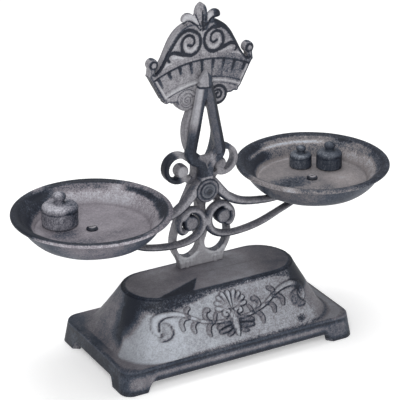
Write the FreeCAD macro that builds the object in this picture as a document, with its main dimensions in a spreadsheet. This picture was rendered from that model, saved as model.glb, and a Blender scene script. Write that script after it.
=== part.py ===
import FreeCAD, Part
import math
import os
import Sketcher
from FreeCAD import Placement, Rotation, Vector

# Decorative cast-iron balance scale: hollow base, scrolled post with a crown, tilting beam with
# two pans, and three loose weights.  Millimetres, +Z up.  The origin lies under the centre of the
# whole object, in the plane of the feet; the beam and both pans are centred on the plane y = 0.

DIMENSIONS = {
    # base casting
    "base_length": 209.0,
    "base_depth": 112.0,
    "base_shift": 7.5,          # the base sits this far towards the front of the beam plane
    "base_offset": 1.9,         # and this far to the left of the post
    "flange_top": 20.7,
    "flange_corner": 12.0,
    "flange_flare": 2.2,        # the foot outline is this much larger all round than the flange top
    "foot_corner": 9.5,
    "foot_gap": 8.0,            # clear height under the apron between two feet
    "foot_length": 23.0,
    "slope_inset": 2.0,         # flange left in front of the sloping body
    "slope_end_inset": 11.0,    # flange left beyond the ends of the sloping body
    "slope_corner": 36.0,
    "deck_height": 60.7,
    "deck_length": 151.6,
    "deck_depth": 56.4,
    "wall": 4.5,
    # post casting
    "post_front": 5.0,
    "post_thickness": 9.0,
    "post_foot_width": 40.0,
    "crown_height": 283.4,      # the finial stands finial_rise above this level
    "finial_rise": 1.2,
    "relief": 0.7,
    # beam casting
    "beam_thickness": 7.6,
    "hub_height": 130.1,
    "hub_radius": 10.0,
    "arm_length": 101.4,
    "pad_radius": 12.0,
    "pad_thickness": 4.5,
    # pans
    "pan_radius": 63.5,
    "pan_rim_height": 134.2,
    "pan_depth": 16.3,
    "pan_floor": 5.0,
    "pan_floor_radius": 45.0,
    "pan_boss_radius": 20.0,
    "pan_boss": 1.7,
    "lip_width": 5.6,
    "lip_thickness": 3.4,
    # fixings
    "pivot_radius": 2.5,
    "screw_radius": 2.0,
    "pan_screw_radius": 2.5,
    "fit": 0.05,
    "post_screw_spacing": 26.0,
    # loose weights
    "large_radius": 14.5,
    "large_height": 27.5,
    "medium_radius": 10.9,
    "medium_height": 22.4,
    "small_radius": 9.2,
    "small_height": 18.5,
}


class Size:
    """A length that carries both its spreadsheet expression and its value."""

    def __init__(self, text, value):
        self.text = text
        self.value = value

    @staticmethod
    def of(item):
        return item if isinstance(item, Size) else Size(repr(float(item)), float(item))

    def __add__(self, other):
        other = Size.of(other)
        return Size("(%s + %s)" % (self.text, other.text), self.value + other.value)

    def __sub__(self, other):
        other = Size.of(other)
        return Size("(%s - %s)" % (self.text, other.text), self.value - other.value)

    def __mul__(self, other):
        other = Size.of(other)
        return Size("(%s * %s)" % (self.text, other.text), self.value * other.value)

    def __truediv__(self, other):
        other = Size.of(other)
        return Size("(%s / %s)" % (self.text, other.text), self.value / other.value)

    def __neg__(self):
        return Size("(0 - %s)" % self.text, -self.value)

    def __rsub__(self, other):
        return Size.of(other) - self

    def __rmul__(self, other):
        return Size.of(other) * self


doc = FreeCAD.newDocument("balance_scale")
sheet = doc.addObject("Spreadsheet::Sheet", "dims")
for row, (alias, number) in enumerate(DIMENSIONS.items(), start=1):
    sheet.set("A%d" % row, alias)
    sheet.set("B%d" % row, str(number))
    sheet.setAlias("B%d" % row, alias)
doc.recompute()

D = {alias: Size("dims." + alias, float(sheet.get(alias))) for alias in DIMENSIONS}


# ---------------------------------------------------------------- sketches and bodies

def origin_plane(body, role):
    return [item for item in body.Origin.OriginFeatures if item.Role == role][0]


def add_sketch(body, name, role, offset=None):
    """A sketch on one of the body's own planes, moved along its normal by offset."""
    sketch = body.newObject("Sketcher::SketchObject", name)
    sketch.AttachmentSupport = [(origin_plane(body, role), "")]
    sketch.MapMode = "FlatFace"
    if offset is not None:
        sketch.setExpression("AttachmentOffset.Base.z", Size.of(offset).text)
    return sketch


def arc_between(start, end, radius):
    """Minor arc; the centre is on the left of start-end when the radius is positive."""
    chord = end - start
    half = chord.Length / 2
    reach = math.sqrt(max(radius * radius - half * half, 0.0))
    left = Vector(-chord.y, chord.x, 0).normalize()
    side = 1 if radius > 0 else -1
    centre = (start + end) / 2 + left * (side * reach)
    first, last = (start, end) if radius > 0 else (end, start)
    begin = math.atan2(first.y - centre.y, first.x - centre.x)
    finish = math.atan2(last.y - centre.y, last.x - centre.x)
    circle = Part.Circle(centre, Vector(0, 0, 1), abs(radius))
    return Part.ArcOfCircle(circle, begin, finish if finish > begin else finish + 2 * math.pi)


def bind_coordinate(sketch, kind, geometry, end, size):
    """Fixes one coordinate of a point to a spreadsheet expression."""
    size = Size.of(size)
    if abs(size.value) < 1e-9:
        axis = -2 if kind == "DistanceX" else -1
        sketch.addConstraint(Sketcher.Constraint("PointOnObject", geometry, end, axis))
        return
    index = sketch.addConstraint(Sketcher.Constraint(kind, -1, 1, geometry, end, size.value))
    sketch.setExpression("Constraints[%d]" % index, size.text)


def draw_outline(sketch, corners, arcs=None):
    """Closed outline through the corners; arcs maps an edge number to a signed radius."""
    arcs = arcs or {}
    points = [Vector(Size.of(a).value, Size.of(b).value, 0) for a, b in corners]
    count = len(points)
    ends = []
    for number, start in enumerate(points):
        finish = points[(number + 1) % count]
        if number in arcs:
            radius = Size.of(arcs[number])
            geometry = sketch.addGeometry(arc_between(start, finish, radius.value), False)
            index = sketch.addConstraint(Sketcher.Constraint("Radius", geometry, abs(radius.value)))
            sketch.setExpression("Constraints[%d]" % index, "abs(%s)" % radius.text)
            ends.append((geometry, 1, 2) if radius.value > 0 else (geometry, 2, 1))
        else:
            geometry = sketch.addGeometry(Part.LineSegment(start, finish), False)
            ends.append((geometry, 1, 2))
    for number, (geometry, first, last) in enumerate(ends):
        following = ends[(number + 1) % count]
        sketch.addConstraint(Sketcher.Constraint("Coincident", geometry, last, following[0], following[1]))
        bind_coordinate(sketch, "DistanceX", geometry, first, corners[number][0])
        bind_coordinate(sketch, "DistanceY", geometry, first, corners[number][1])


def rounded_rectangle(sketch, half_x, half_y, corner):
    corners = [
        (half_x, corner - half_y), (half_x, half_y - corner),
        (half_x - corner, half_y), (corner - half_x, half_y),
        (-half_x, half_y - corner), (-half_x, corner - half_y),
        (corner - half_x, -half_y), (half_x - corner, -half_y),
    ]
    draw_outline(sketch, corners, {1: corner, 3: corner, 5: corner, 7: corner})


def new_body(label):
    body = doc.addObject("PartDesign::Body", label)
    body.Label = label
    return body


def turned(label, profile, arcs=None):
    """Round piece turned about its own Z axis; profile is (radius, height) corners."""
    body = new_body(label)
    sketch = add_sketch(body, label + "_profile", "XZ_Plane")
    draw_outline(sketch, profile, arcs)
    spin = body.newObject("PartDesign::Revolution", label + "_turn")
    spin.Profile = sketch
    spin.ReferenceAxis = (sketch, ["V_Axis"])
    spin.Angle = 360
    body.Tip = spin
    return body


def cut_slot(body, width, depth, face_height, reach):
    """Screwdriver slot across the head of a turned screw."""
    sketch = add_sketch(body, body.Label + "_slot", "XY_Plane", face_height)
    half = width / 2
    draw_outline(sketch, [(-reach, -half), (reach, -half), (reach, half), (-reach, half)])
    pocket = body.newObject("PartDesign::Pocket", body.Label + "_slot_cut")
    pocket.Profile = sketch
    pocket.setExpression("Length", Size.of(depth).text)
    body.Tip = pocket
    return body


def place(item, x, y, z, rotation=None):
    """Puts a piece at a position given as expressions."""
    if rotation is not None:
        item.Placement = Placement(Vector(0, 0, 0), rotation)
    for axis, size in zip("xyz", (x, y, z)):
        item.setExpression("Placement.Base." + axis, Size.of(size).text)
    return item


def mirrored_pair(label, source):
    """Two identical pieces, left and right of the plane x = 0, as one sub-part."""
    source.Label = label + "_right"
    mirror = doc.addObject("Part::Mirroring", label + "_left")
    mirror.Source = source
    mirror.Normal = Vector(1, 0, 0)
    pair = doc.addObject("Part::Compound", label)
    pair.Links = [source, mirror]
    pair.Label = label
    return pair


# ---------------------------------------------------------------- turned fixings

FORWARD = Rotation(Vector(1, 0, 0), 90)      # turns a piece's own +Z to point at -Y


def screw(label, radius, length, head_radius, head_height, slot_width):
    """Slotted round-head screw; its seat is at z = 0 and the shank runs down."""
    flat = head_radius * 0.55
    profile = [
        (0, -length), (radius - 0.4, -length), (radius, 0.4 - length),
        (radius, 0), (head_radius, 0), (head_radius, head_height * 0.35),
        (flat, head_height), (0, head_height),
    ]
    body = turned(label, profile, {5: head_radius * 0.75})
    return cut_slot(body, slot_width, head_height * 0.45, head_height, head_radius + 1)


def washer(label, outer, inner, thickness):
    return turned(label, [(inner, 0), (outer, 0), (outer, thickness), (inner, thickness)])


def hex_nut(label, half_across, hole, thickness):
    """Nut with its lower face at z = 0."""
    body = new_body(label)
    sketch = add_sketch(body, label + "_hexagon", "XY_Plane")
    corners = []
    for step in range(6):
        turn = math.radians(60 * step)
        along = round(math.cos(turn), 12)
        across = round(math.sin(turn), 12)
        corners.append((half_across * along, half_across * across))
    draw_outline(sketch, corners)
    block = body.newObject("PartDesign::Pad", label + "_block")
    block.Profile = sketch
    block.setExpression("Length", Size.of(thickness).text)
    doc.recompute()
    bore_sketch = add_sketch(body, label + "_bore", "XY_Plane", thickness)
    circle = bore_sketch.addGeometry(Part.Circle(Vector(0, 0, 0), Vector(0, 0, 1), hole.value), False)
    bore_sketch.addConstraint(Sketcher.Constraint("Coincident", circle, 3, -1, 1))
    index = bore_sketch.addConstraint(Sketcher.Constraint("Radius", circle, hole.value))
    bore_sketch.setExpression("Constraints[%d]" % index, hole.text)
    bore = body.newObject("PartDesign::Pocket", label + "_bore_cut")
    bore.Profile = bore_sketch
    bore.Type = "ThroughAll"
    body.Tip = bore
    return body


# ---------------------------------------------------------------- pans and weights

def pan(label, side):
    """Shallow round pan with an out-turned lip and a boss under its middle; z = 0 is the seat."""
    floor_top = D["pan_boss"] + D["pan_floor"]
    rim = floor_top + D["pan_depth"]
    radius = D["pan_radius"]
    neck = radius - D["lip_width"]
    under_lip = rim - D["lip_thickness"]
    bore = D["pan_screw_radius"] + D["fit"]
    outer_curve = 17.5
    inner_curve = 18.0
    lip_curve = 2.0
    profile = [
        (bore, 0), (D["pan_boss_radius"], 0), (D["pan_boss_radius"], D["pan_boss"]),
        (D["pan_floor_radius"] - 0.5, D["pan_boss"]), (neck, under_lip),
        (radius - 0.6, under_lip), (radius, under_lip + 1.2),
        (radius - 1.4, rim), (radius - 4.4, rim), (neck - 2.6, under_lip - 0.2),
        (D["pan_floor_radius"], floor_top), (bore, floor_top),
    ]
    body = turned(label, profile, {3: outer_curve, 6: lip_curve, 9: -inner_curve})
    return place(body, D["arm_length"] * side, 0, D["pan_rim_height"] - rim)


def weight(label, radius, height, x, y):
    """Round weight with a rounded shoulder and a knob, standing on a pan floor."""
    profile = [
        (0, 0), (radius - 0.8, 0), (radius, 0.8), (radius, height * 0.5),
        (radius * 0.62, height * 0.66), (radius * 0.34, height * 0.7), (radius * 0.34, height * 0.76),
        (radius * 0.47, height * 0.8), (radius * 0.47, height * 0.93), (radius * 0.3, height), (0, height),
    ]
    body = turned(label, profile, {3: radius * 0.42, 8: radius * 0.2})
    return place(body, x, y, D["pan_rim_height"] - D["pan_depth"])


# ---------------------------------------------------------------- base casting

def outline_at(body, name, height, half_x, half_y, corner):
    sketch = add_sketch(body, name, "XY_Plane", height)
    rounded_rectangle(sketch, half_x, half_y, corner)
    return sketch


def pad(body, sketch, length):
    block = body.newObject("PartDesign::Pad", sketch.Name + "_pad")
    block.Profile = sketch
    block.setExpression("Length", Size.of(length).text)
    return block


def loft(body, kind, lower, upper):
    block = body.newObject("PartDesign::" + kind, lower.Name + "_loft")
    block.Profile = lower
    block.Sections = [upper]
    block.Ruled = True
    return block


def pocket_through(body, sketch):
    cut = body.newObject("PartDesign::Pocket", sketch.Name + "_cut")
    cut.Profile = sketch
    cut.Type = "ThroughAll"
    cut.Midplane = True
    return cut


def apron_gap(body, name, role, half_span):
    """Low opening with sloping shoulders between two feet, cut right through."""
    sketch = add_sketch(body, name, role)
    rise = D["foot_gap"]
    shoulder = 4.0
    draw_outline(sketch, [
        (-half_span - 1, -1), (half_span + 1, -1), (half_span, rise * 0.35),
        (half_span - shoulder, rise), (shoulder - half_span, rise), (-half_span, rise * 0.35),
    ], {2: -6.0, 4: -6.0})
    return pocket_through(body, sketch)


def edges_at(shape, test):
    return ["Edge%d" % (number + 1) for number, edge in enumerate(shape.Edges) if test(edge)]


def fillet(body, label, base, radius, test):
    doc.recompute()
    rounding = body.newObject("PartDesign::Fillet", label)
    rounding.Base = (base, edges_at(base.Shape, test))
    rounding.setExpression("Radius", Size.of(radius).text)
    body.Tip = rounding
    return rounding


def base_casting():
    """Hollow foot casting: flange on four feet, sloping sides and a flat round-ended deck."""
    body = new_body("base_casting")
    half_x = D["base_length"] / 2
    half_y = D["base_depth"] / 2
    wall = D["wall"]
    flare = D["flange_flare"]
    feet = outline_at(body, "feet", 0, half_x + flare, half_y + flare, D["foot_corner"])
    flange = outline_at(body, "flange", D["flange_top"], half_x, half_y, D["flange_corner"])
    loft(body, "AdditiveLoft", feet, flange)
    slope_x = half_x - D["slope_end_inset"]
    slope_y = half_y - D["slope_inset"]
    deck_x = D["deck_length"] / 2
    deck_y = D["deck_depth"] / 2
    deck_corner = deck_y - 1
    foot = outline_at(body, "slope_foot", D["flange_top"], slope_x, slope_y, D["slope_corner"])
    deck = outline_at(body, "deck", D["deck_height"], deck_x, deck_y, deck_corner)
    slope = loft(body, "AdditiveLoft", foot, deck)
    body.Tip = slope
    doc.recompute()

    def deck_edge(edge):
        return all(abs(vertex.Z - D["deck_height"].value) < 1e-4 for vertex in edge.Vertexes)

    def flange_edge(edge):
        on_level = all(abs(vertex.Z - D["flange_top"].value) < 1e-4 for vertex in edge.Vertexes)
        return on_level and max(abs(vertex.Y) for vertex in edge.Vertexes) > slope_y.value + 0.5 or (
            on_level and max(abs(vertex.X) for vertex in edge.Vertexes) > slope_x.value + 0.5)

    rounded_deck = fillet(body, "deck_rounding", slope, 1.2, deck_edge)
    fillet(body, "flange_rounding", rounded_deck, 1.2, flange_edge)
    doc.recompute()
    inside = outline_at(body, "flange_hollow", 0, half_x - wall, half_y - wall, D["flange_corner"] - wall)
    hollow = body.newObject("PartDesign::Pocket", "flange_hollow_cut")
    hollow.Profile = inside
    hollow.Reversed = True
    hollow.setExpression("Length", (D["flange_top"] - wall).text)
    lower = outline_at(body, "slope_hollow", D["flange_top"] - wall - 0.1,
                       slope_x - wall - 1, slope_y - wall - 1, D["slope_corner"] - wall)
    upper = outline_at(body, "deck_hollow", D["deck_height"] - wall,
                       deck_x - wall, deck_y - wall, deck_corner - wall)
    inner = loft(body, "SubtractiveLoft", lower, upper)
    body.Tip = inner
    doc.recompute()
    apron_gap(body, "long_gap", "XZ_Plane", half_x - D["foot_length"])
    apron_gap(body, "end_gap", "YZ_Plane", half_y - D["foot_length"])
    holes = add_sketch(body, "post_screw_holes", "XY_Plane", D["deck_height"])
    for side in (-1, 1):
        across = D["post_screw_spacing"] / 2 * side + D["base_offset"]
        round_hole = Part.Circle(Vector(across.value, 0, 0), Vector(0, 0, 1), D["screw_radius"].value)
        circle = holes.addGeometry(round_hole, False)
        index = holes.addConstraint(Sketcher.Constraint("Radius", circle, D["screw_radius"].value))
        holes.setExpression("Constraints[%d]" % index, (D["screw_radius"] + D["fit"]).text)
        bind_coordinate(holes, "DistanceX", circle, 3, across)
        bind_coordinate(holes, "DistanceY", circle, 3, post_middle() + D["base_shift"])
    drilled = body.newObject("PartDesign::Pocket", "post_screw_holes_cut")
    drilled.Profile = holes
    drilled.setExpression("Length", (wall * 2).text)
    body.Tip = drilled
    return place(body, -D["base_offset"], -D["base_shift"], 0)


# ---------------------------------------------------------------- scrollwork helpers

def post_middle():
    """Y of the middle of the post's thickness."""
    return D["post_front"] + D["post_thickness"] / 2


def curve_through(points, closed=False):
    curve = Part.BSplineCurve()
    curve.interpolate(Points=[Vector(x, 0, z) for x, z in points], PeriodicFlag=closed)
    return curve


def extruded(wire, front, back):
    """Plate with the given outline in the XZ plane, from y = front to y = back."""
    wire.translate(Vector(0, front - wire.BoundBox.YMin, 0))
    return Part.Face(wire).extrude(Vector(0, back - front, 0))


def strand(points, widths, front, back):
    """Bar of varying width along a smooth centre line through the (x, z) points."""
    centre = curve_through(points)
    left = []
    right = []
    for (x, z), width in zip(points, widths):
        along = centre.tangent(centre.parameter(Vector(x, 0, z)))[0]
        across = Vector(-along.z, 0, along.x) * (width / 2)
        left.append((x + across.x, z + across.z))
        right.append((x - across.x, z - across.z))
    side_a = curve_through(left).toShape()
    side_b = curve_through(right).toShape()
    cap_a = Part.makeLine(Vector(left[-1][0], 0, left[-1][1]), Vector(right[-1][0], 0, right[-1][1]))
    cap_b = Part.makeLine(Vector(right[0][0], 0, right[0][1]), Vector(left[0][0], 0, left[0][1]))
    wire = Part.Wire(Part.__sortEdges__([side_a, cap_a, side_b, cap_b]))
    return extruded(wire, front, back)


def spiral_points(centre, radii, angles, count):
    """Points on a spiral about centre; angles in degrees, radius changing steadily."""
    points = []
    for step in range(count):
        share = step / (count - 1)
        radius = radii[0] + (radii[1] - radii[0]) * share
        angle = math.radians(angles[0] + (angles[1] - angles[0]) * share)
        points.append((centre[0] + radius * math.cos(angle), centre[1] + radius * math.sin(angle)))
    return points


def disc(x, z, radius, front, back):
    return Part.makeCylinder(radius, back - front, Vector(x, front, z), Vector(0, 1, 0))


def smooth_plate(points, front, back):
    """Plate with a smooth closed outline."""
    return extruded(Part.Wire(curve_through(points, True).toShape()), front, back)


def straight_plate(points, front, back):
    """Plate with a straight-sided closed outline."""
    corners = [Vector(x, 0, z) for x, z in points]
    return extruded(Part.makePolygon(corners + corners[:1]), front, back)


def welded(shapes, cuts=()):
    solid = shapes[0].multiFuse(shapes[1:])
    if cuts:
        solid = solid.cut(Part.makeCompound(list(cuts)))
    return solid.removeSplitter()


def welded_symmetric(shapes, cuts=()):
    """Welds the right-hand half of a casting, then joins it to its mirror image at x = 0."""
    reach = 400
    right_side = Part.makeBox(reach, reach, reach, Vector(0, -reach / 2, 0))
    half = welded(shapes, cuts).common(right_side)
    other = half.mirror(Vector(0, 0, 0), Vector(1, 0, 0))
    return half.fuse(other).removeSplitter()


def casting(label, shape):
    item = doc.addObject("Part::Feature", label)
    item.Label = label
    item.Shape = shape
    return item


# ---------------------------------------------------------------- post casting

def post_outline(front, back):
    """Lower legs, neck and upper loop as one plate with a smooth outline on each side."""
    deck = D["deck_height"].value
    half = D["post_foot_width"].value / 2
    right = [
        (half, deck), (half + 0.4, deck + 5), (half + 4.5, deck + 13), (half + 7.3, deck + 24),
        (half + 5.6, deck + 34), (half + 0.5, deck + 49), (14.5, deck + 62), (10.2, deck + 71.5),
        (7.6, deck + 79.5), (7.2, deck + 87), (9.6, deck + 95), (13.4, deck + 103.5),
        (15.6, deck + 114), (14.4, deck + 126), (11.2, deck + 136), (10.6, deck + 142),
    ]
    left = [(-x, z) for x, z in right]
    wire = Part.Wire([
        curve_through(right).toShape(),
        Part.makeLine(Vector(right[-1][0], 0, right[-1][1]), Vector(left[-1][0], 0, left[-1][1])),
        curve_through(left[::-1]).toShape(),
        Part.makeLine(Vector(left[0][0], 0, left[0][1]), Vector(right[0][0], 0, right[0][1])),
    ])
    return extruded(wire, front, back)


def post_openings(front, back):
    """Two drop-shaped holes beside the stem and one tall hole in the upper loop."""
    deck = D["deck_height"].value
    drop = smooth_plate([
        (3.4, deck + 23), (5.8, deck + 12.5), (13.2, deck + 9.5), (20.4, deck + 13.8), (23.2, deck + 24),
        (21.4, deck + 34.5), (16.2, deck + 47), (10.4, deck + 56.5), (6.2, deck + 58), (3.8, deck + 48),
    ], front, back)
    tall = smooth_plate([
        (0, deck + 89), (6.2, deck + 93.5), (10.2, deck + 103), (11.7, deck + 114), (10.4, deck + 125),
        (6.4, deck + 135.5), (0, deck + 138), (-6.4, deck + 135.5), (-10.4, deck + 125),
        (-11.7, deck + 114), (-10.2, deck + 103), (-6.2, deck + 93.5),
    ], front, back)
    return [drop, tall]


def rounded_boss(x, z, radius, front, back, rounding):
    """Thick disc with a rounded front edge, like the ball at the end of a scroll."""
    shape = disc(x, z, radius, front, back)
    rim = [edge for edge in shape.Edges if abs(edge.BoundBox.YMax - front) < 1e-6 and edge.Closed]
    return shape.makeFillet(rounding, rim)


def side_scroll(front, back):
    """Open ring beside the neck that ends in a ball, with a bead where it meets the neck."""
    middle = D["deck_height"].value + 89
    ring = spiral_points((20.5, middle), (10.4, 11.6), (146, -130), 9)
    return [
        strand(ring, [4.6] + [4.2] * 7 + [3.4], front, back),
        rounded_boss(17.3, middle - 3.6, 5.6, front - 0.3, back, 2.6),
        disc(19.2, middle - 9.4, 2.4, front + 1, back - 1),
        rounded_boss(10.8, middle - 12.4, 3.2, front + 0.5, back - 0.5, 1.2),
    ]


FAN_HALF_ANGLE = 28.4
FLUTES_PER_SIDE = 4


def crown_band(front, back):
    """Fan-shaped band across the crown."""
    top = D["crown_height"].value - 52.3
    wide = 46.2
    narrow = 34.7
    low = top - 21.3
    upper = Part.Arc(Vector(-wide, 0, top), Vector(0, 0, top + 9.8), Vector(wide, 0, top)).toShape()
    lower = Part.Arc(Vector(narrow, 0, low), Vector(0, 0, low + 9.0), Vector(-narrow, 0, low)).toShape()
    right = Part.makeLine(Vector(wide, 0, top), Vector(narrow, 0, low))
    left = Part.makeLine(Vector(-narrow, 0, low), Vector(-wide, 0, top))
    return extruded(Part.Wire([upper, right, lower, left]), front, back)


def crown_flutes(front, depth):
    """Narrow grooves that radiate across the band from a point far below it."""
    origin = D["crown_height"].value - 137.8
    grooves = []
    for number in range(FLUTES_PER_SIDE + 1):
        share = number / FLUTES_PER_SIDE
        groove = Part.makeBox(1.2, depth * 2, 15.5, Vector(-0.6, front - depth, 74.5 - 4.5 * share))
        groove.rotate(Vector(0, 0, 0), Vector(0, 1, 0), share * (FAN_HALF_ANGLE - 3.4))
        groove.translate(Vector(0, 0, origin))
        grooves.append(groove)
    return grooves


def crown_arch(front, back):
    """Ogee-sided plate that rises from the band to the foot of the finial."""
    foot = D["crown_height"].value - 51.9
    right = [(43.5, foot), (37.0, foot + 6.5), (30.3, foot + 19), (22.2, foot + 31.6),
             (11.5, foot + 37.6), (0, foot + 35)]
    left = [(-x, z) for x, z in right[::-1]]
    wire = Part.Wire([
        curve_through(right).toShape(), curve_through(left).toShape(),
        Part.makeLine(Vector(-43.5, 0, foot), Vector(43.5, 0, foot)),
    ])
    return extruded(wire, front, back)


def crown_finial(front, back):
    """Three-leaved tip of the crown, half as thick as the rest of it."""
    tip = D["crown_height"].value
    back = (front + back) / 2 + 1
    centre_leaf = smooth_plate([
        (0, tip + D["finial_rise"].value), (4.6, tip - 3.6), (5.1, tip - 9.5), (2.6, tip - 15),
        (0, tip - 21), (-2.6, tip - 15), (-5.1, tip - 9.5), (-4.6, tip - 3.6),
    ], front, back)
    side_leaf = smooth_plate([
        (1.0, tip - 18.8), (5.0, tip - 10.2), (11.0, tip - 6.0), (16.6, tip - 8.2),
        (17.0, tip - 12.2), (12.0, tip - 13.2), (7.0, tip - 17.6), (3.0, tip - 21),
    ], front + 0.6, back - 0.6)
    return [centre_leaf, side_leaf]


def crown_scrolls(front, back):
    """Volutes above and below the band, with the curls at its upper corners."""
    top = D["crown_height"].value
    relief = D["relief"].value
    volute = spiral_points((10.9, top - 29.6), (9.0, 1.6), (-80, 500), 19)
    tail = [(12.4, top - 38.4), (19, top - 36.6), (25, top - 35.4), (29.5, top - 39)]
    low_volute = spiral_points((13.8, top - 76.3), (8.0, 1.6), (120, -420), 17)
    right = [
        strand(volute, [2.4] * 18 + [1.6], front - relief, front + 1),
        strand(tail, [2.0, 2.8, 2.6, 1.2], front - relief, front + 1),
        strand(low_volute, [2.4] * 16 + [1.6], front - relief, front + 1),
        rounded_boss(13.8, top - 76.3, 9.3, front, back, 0.8),
        rounded_boss(42.8, top - 42.4, 4.6, front - 0.2, back - 2, 2.0),
        strand([(44.5, top - 53), (43.9, top - 49), (42.8, top - 44)], [4.6, 4.6, 5.4], front, back - 1),
        disc(31.2, top - 74.6, 2.3, front, back),
        disc(25.6, top - 72.6, 4.8, front, back),
    ]
    middle = Part.makeBox(13, back - front, 20, Vector(-6.5, front, top - 84))
    web_right = [(0, top - 60), (28, top - 66), (31.5, top - 73), (22, top - 75.4), (0, top - 84)]
    web_left = [(-x, z) for x, z in web_right[-2:0:-1]]
    web = straight_plate(web_right + web_left, front + 0.6, back - 0.6)
    return right + [middle, web]


def post_casting():
    front = D["post_front"].value
    back = front + D["post_thickness"].value
    relief = D["relief"].value
    pieces = [post_outline(front, back)]
    pieces += side_scroll(front, back)
    pieces += [crown_band(front, back), crown_arch(front, back)]
    pieces += crown_finial(front, back)
    pieces += crown_scrolls(front, back)
    drop, tall = post_openings(front - 1, back + 1)
    bore = disc(0, D["hub_height"].value, D["pivot_radius"].value + D["fit"].value, front - 1, back + 1)
    screw_hole = Part.makeCylinder(
        D["screw_radius"].value + D["fit"].value, 7.0,
        Vector(D["post_screw_spacing"].value / 2, post_middle().value, D["deck_height"].value))
    cuts = [drop, bore, screw_hole] + crown_flutes(front, relief)
    return casting("post_casting", welded_symmetric([pieces[0].cut(tall)] + pieces[1:], cuts))


# ---------------------------------------------------------------- beam casting

def pointer_fork(front, back):
    """Tall forked pointer: two straight legs, a small arrowhead and a thin web in the crotch."""
    hub = D["hub_height"].value
    leg = straight_plate([(8.8, hub + 34.4), (17.4, hub + 34.4), (6.0, hub + 90), (-0.2, hub + 90),
                          (-0.2, hub + 80.5)], front, back)
    elbow = [(13.0, hub + 36), (13.0, hub + 30.4), (10.0, hub + 26), (5.2, hub + 23), (3.3, hub + 17.5),
             (3.1, hub + 6)]
    bend = strand(elbow, [8.4, 8.4, 7.6, 6.8, 6.4, 6.4], front, back)
    right_half = [(4.2, hub + 88), (6.0, hub + 94), (0, hub + 102)]
    left_half = [(-x, z) for x, z in right_half[1::-1]]
    arrow = straight_plate(right_half + left_half, front + 0.6, back - 0.6)
    web_right = [(0, hub + 14), (7, hub + 20), (10, hub + 35), (4, hub + 29.8)]
    web_left = [(-x, z) for x, z in web_right[:0:-1]]
    web = straight_plate(web_right + web_left, front + 2, back - 1)
    return [leg, bend, arrow, web]


def upper_arm(front, back):
    """Arm that sweeps from the hub to the pad under a pan."""
    hub = D["hub_height"].value
    reach = D["arm_length"].value
    points = [(5, hub + 6.5), (10.5, hub + 0.5), (17.5, hub - 7.4), (28, hub - 15),
              (48, hub - 20.2), (75, hub - 21.8), (reach - 5, hub - 21.2)]
    return strand(points, [9.0, 8.4, 7.4, 5.8, 4.4, 4.0, 3.6], front, back)


def lower_scroll(front, back):
    """Rod that runs in from the pad, turns up beside the middle and curls round to a ball."""
    hub = D["hub_height"].value
    reach = D["arm_length"].value
    middle = hub - 28.4
    rod = [(reach - 7.6, hub - 21.6), (reach - 16, hub - 27.4), (70, hub - 33.6), (56, hub - 39),
           (41, hub - 42.4), (26, hub - 43.6), (14, hub - 42.0), (5.8, hub - 37)]
    curl = [(2.4, middle), (5.2, middle + 8.6), (13.7, middle + 12.8), (21.8, middle + 8.8),
            (24.6, middle + 1.2), (22.0, middle - 4.6), (17.2, middle - 2.6)]
    widths = [3.4, 3.6, 3.6, 3.6, 3.6, 3.8, 4.4, 5.0, 5.4, 5.2, 4.6, 4.0, 4.0, 3.8, 3.4]
    return [
        strand(rod + curl, widths, front, back),
        rounded_boss(14.6, middle + 2.8, 6.4, front - 1.6, back, 3.2),
    ]


def beam_casting():
    half = D["beam_thickness"].value / 2
    hub = D["hub_height"].value
    pad_top = D["pan_rim_height"].value - D["pan_depth"].value - D["pan_floor"].value - D["pan_boss"].value
    pad = Part.makeCylinder(D["pad_radius"].value, D["pad_thickness"].value,
                            Vector(D["arm_length"].value, 0, pad_top - D["pad_thickness"].value))
    pieces = [disc(0, hub, D["hub_radius"].value, -half - 0.6, half)]
    pieces += pointer_fork(-half, half)
    pieces += [upper_arm(-half, half)] + lower_scroll(-half, half) + [pad]
    pieces.append(disc(0, hub - 28.4, 1.6, 1 - half, half - 1))
    bore = disc(0, hub, D["pivot_radius"].value + D["fit"].value, -half - 3, half + 1)
    screw_hole = Part.makeCylinder(D["pan_screw_radius"].value + D["fit"].value, 30,
                                   Vector(D["arm_length"].value, 0, pad_top - 20))
    return casting("beam_casting", welded_symmetric(pieces, [bore, screw_hole]))


# ---------------------------------------------------------------- assembly

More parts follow.
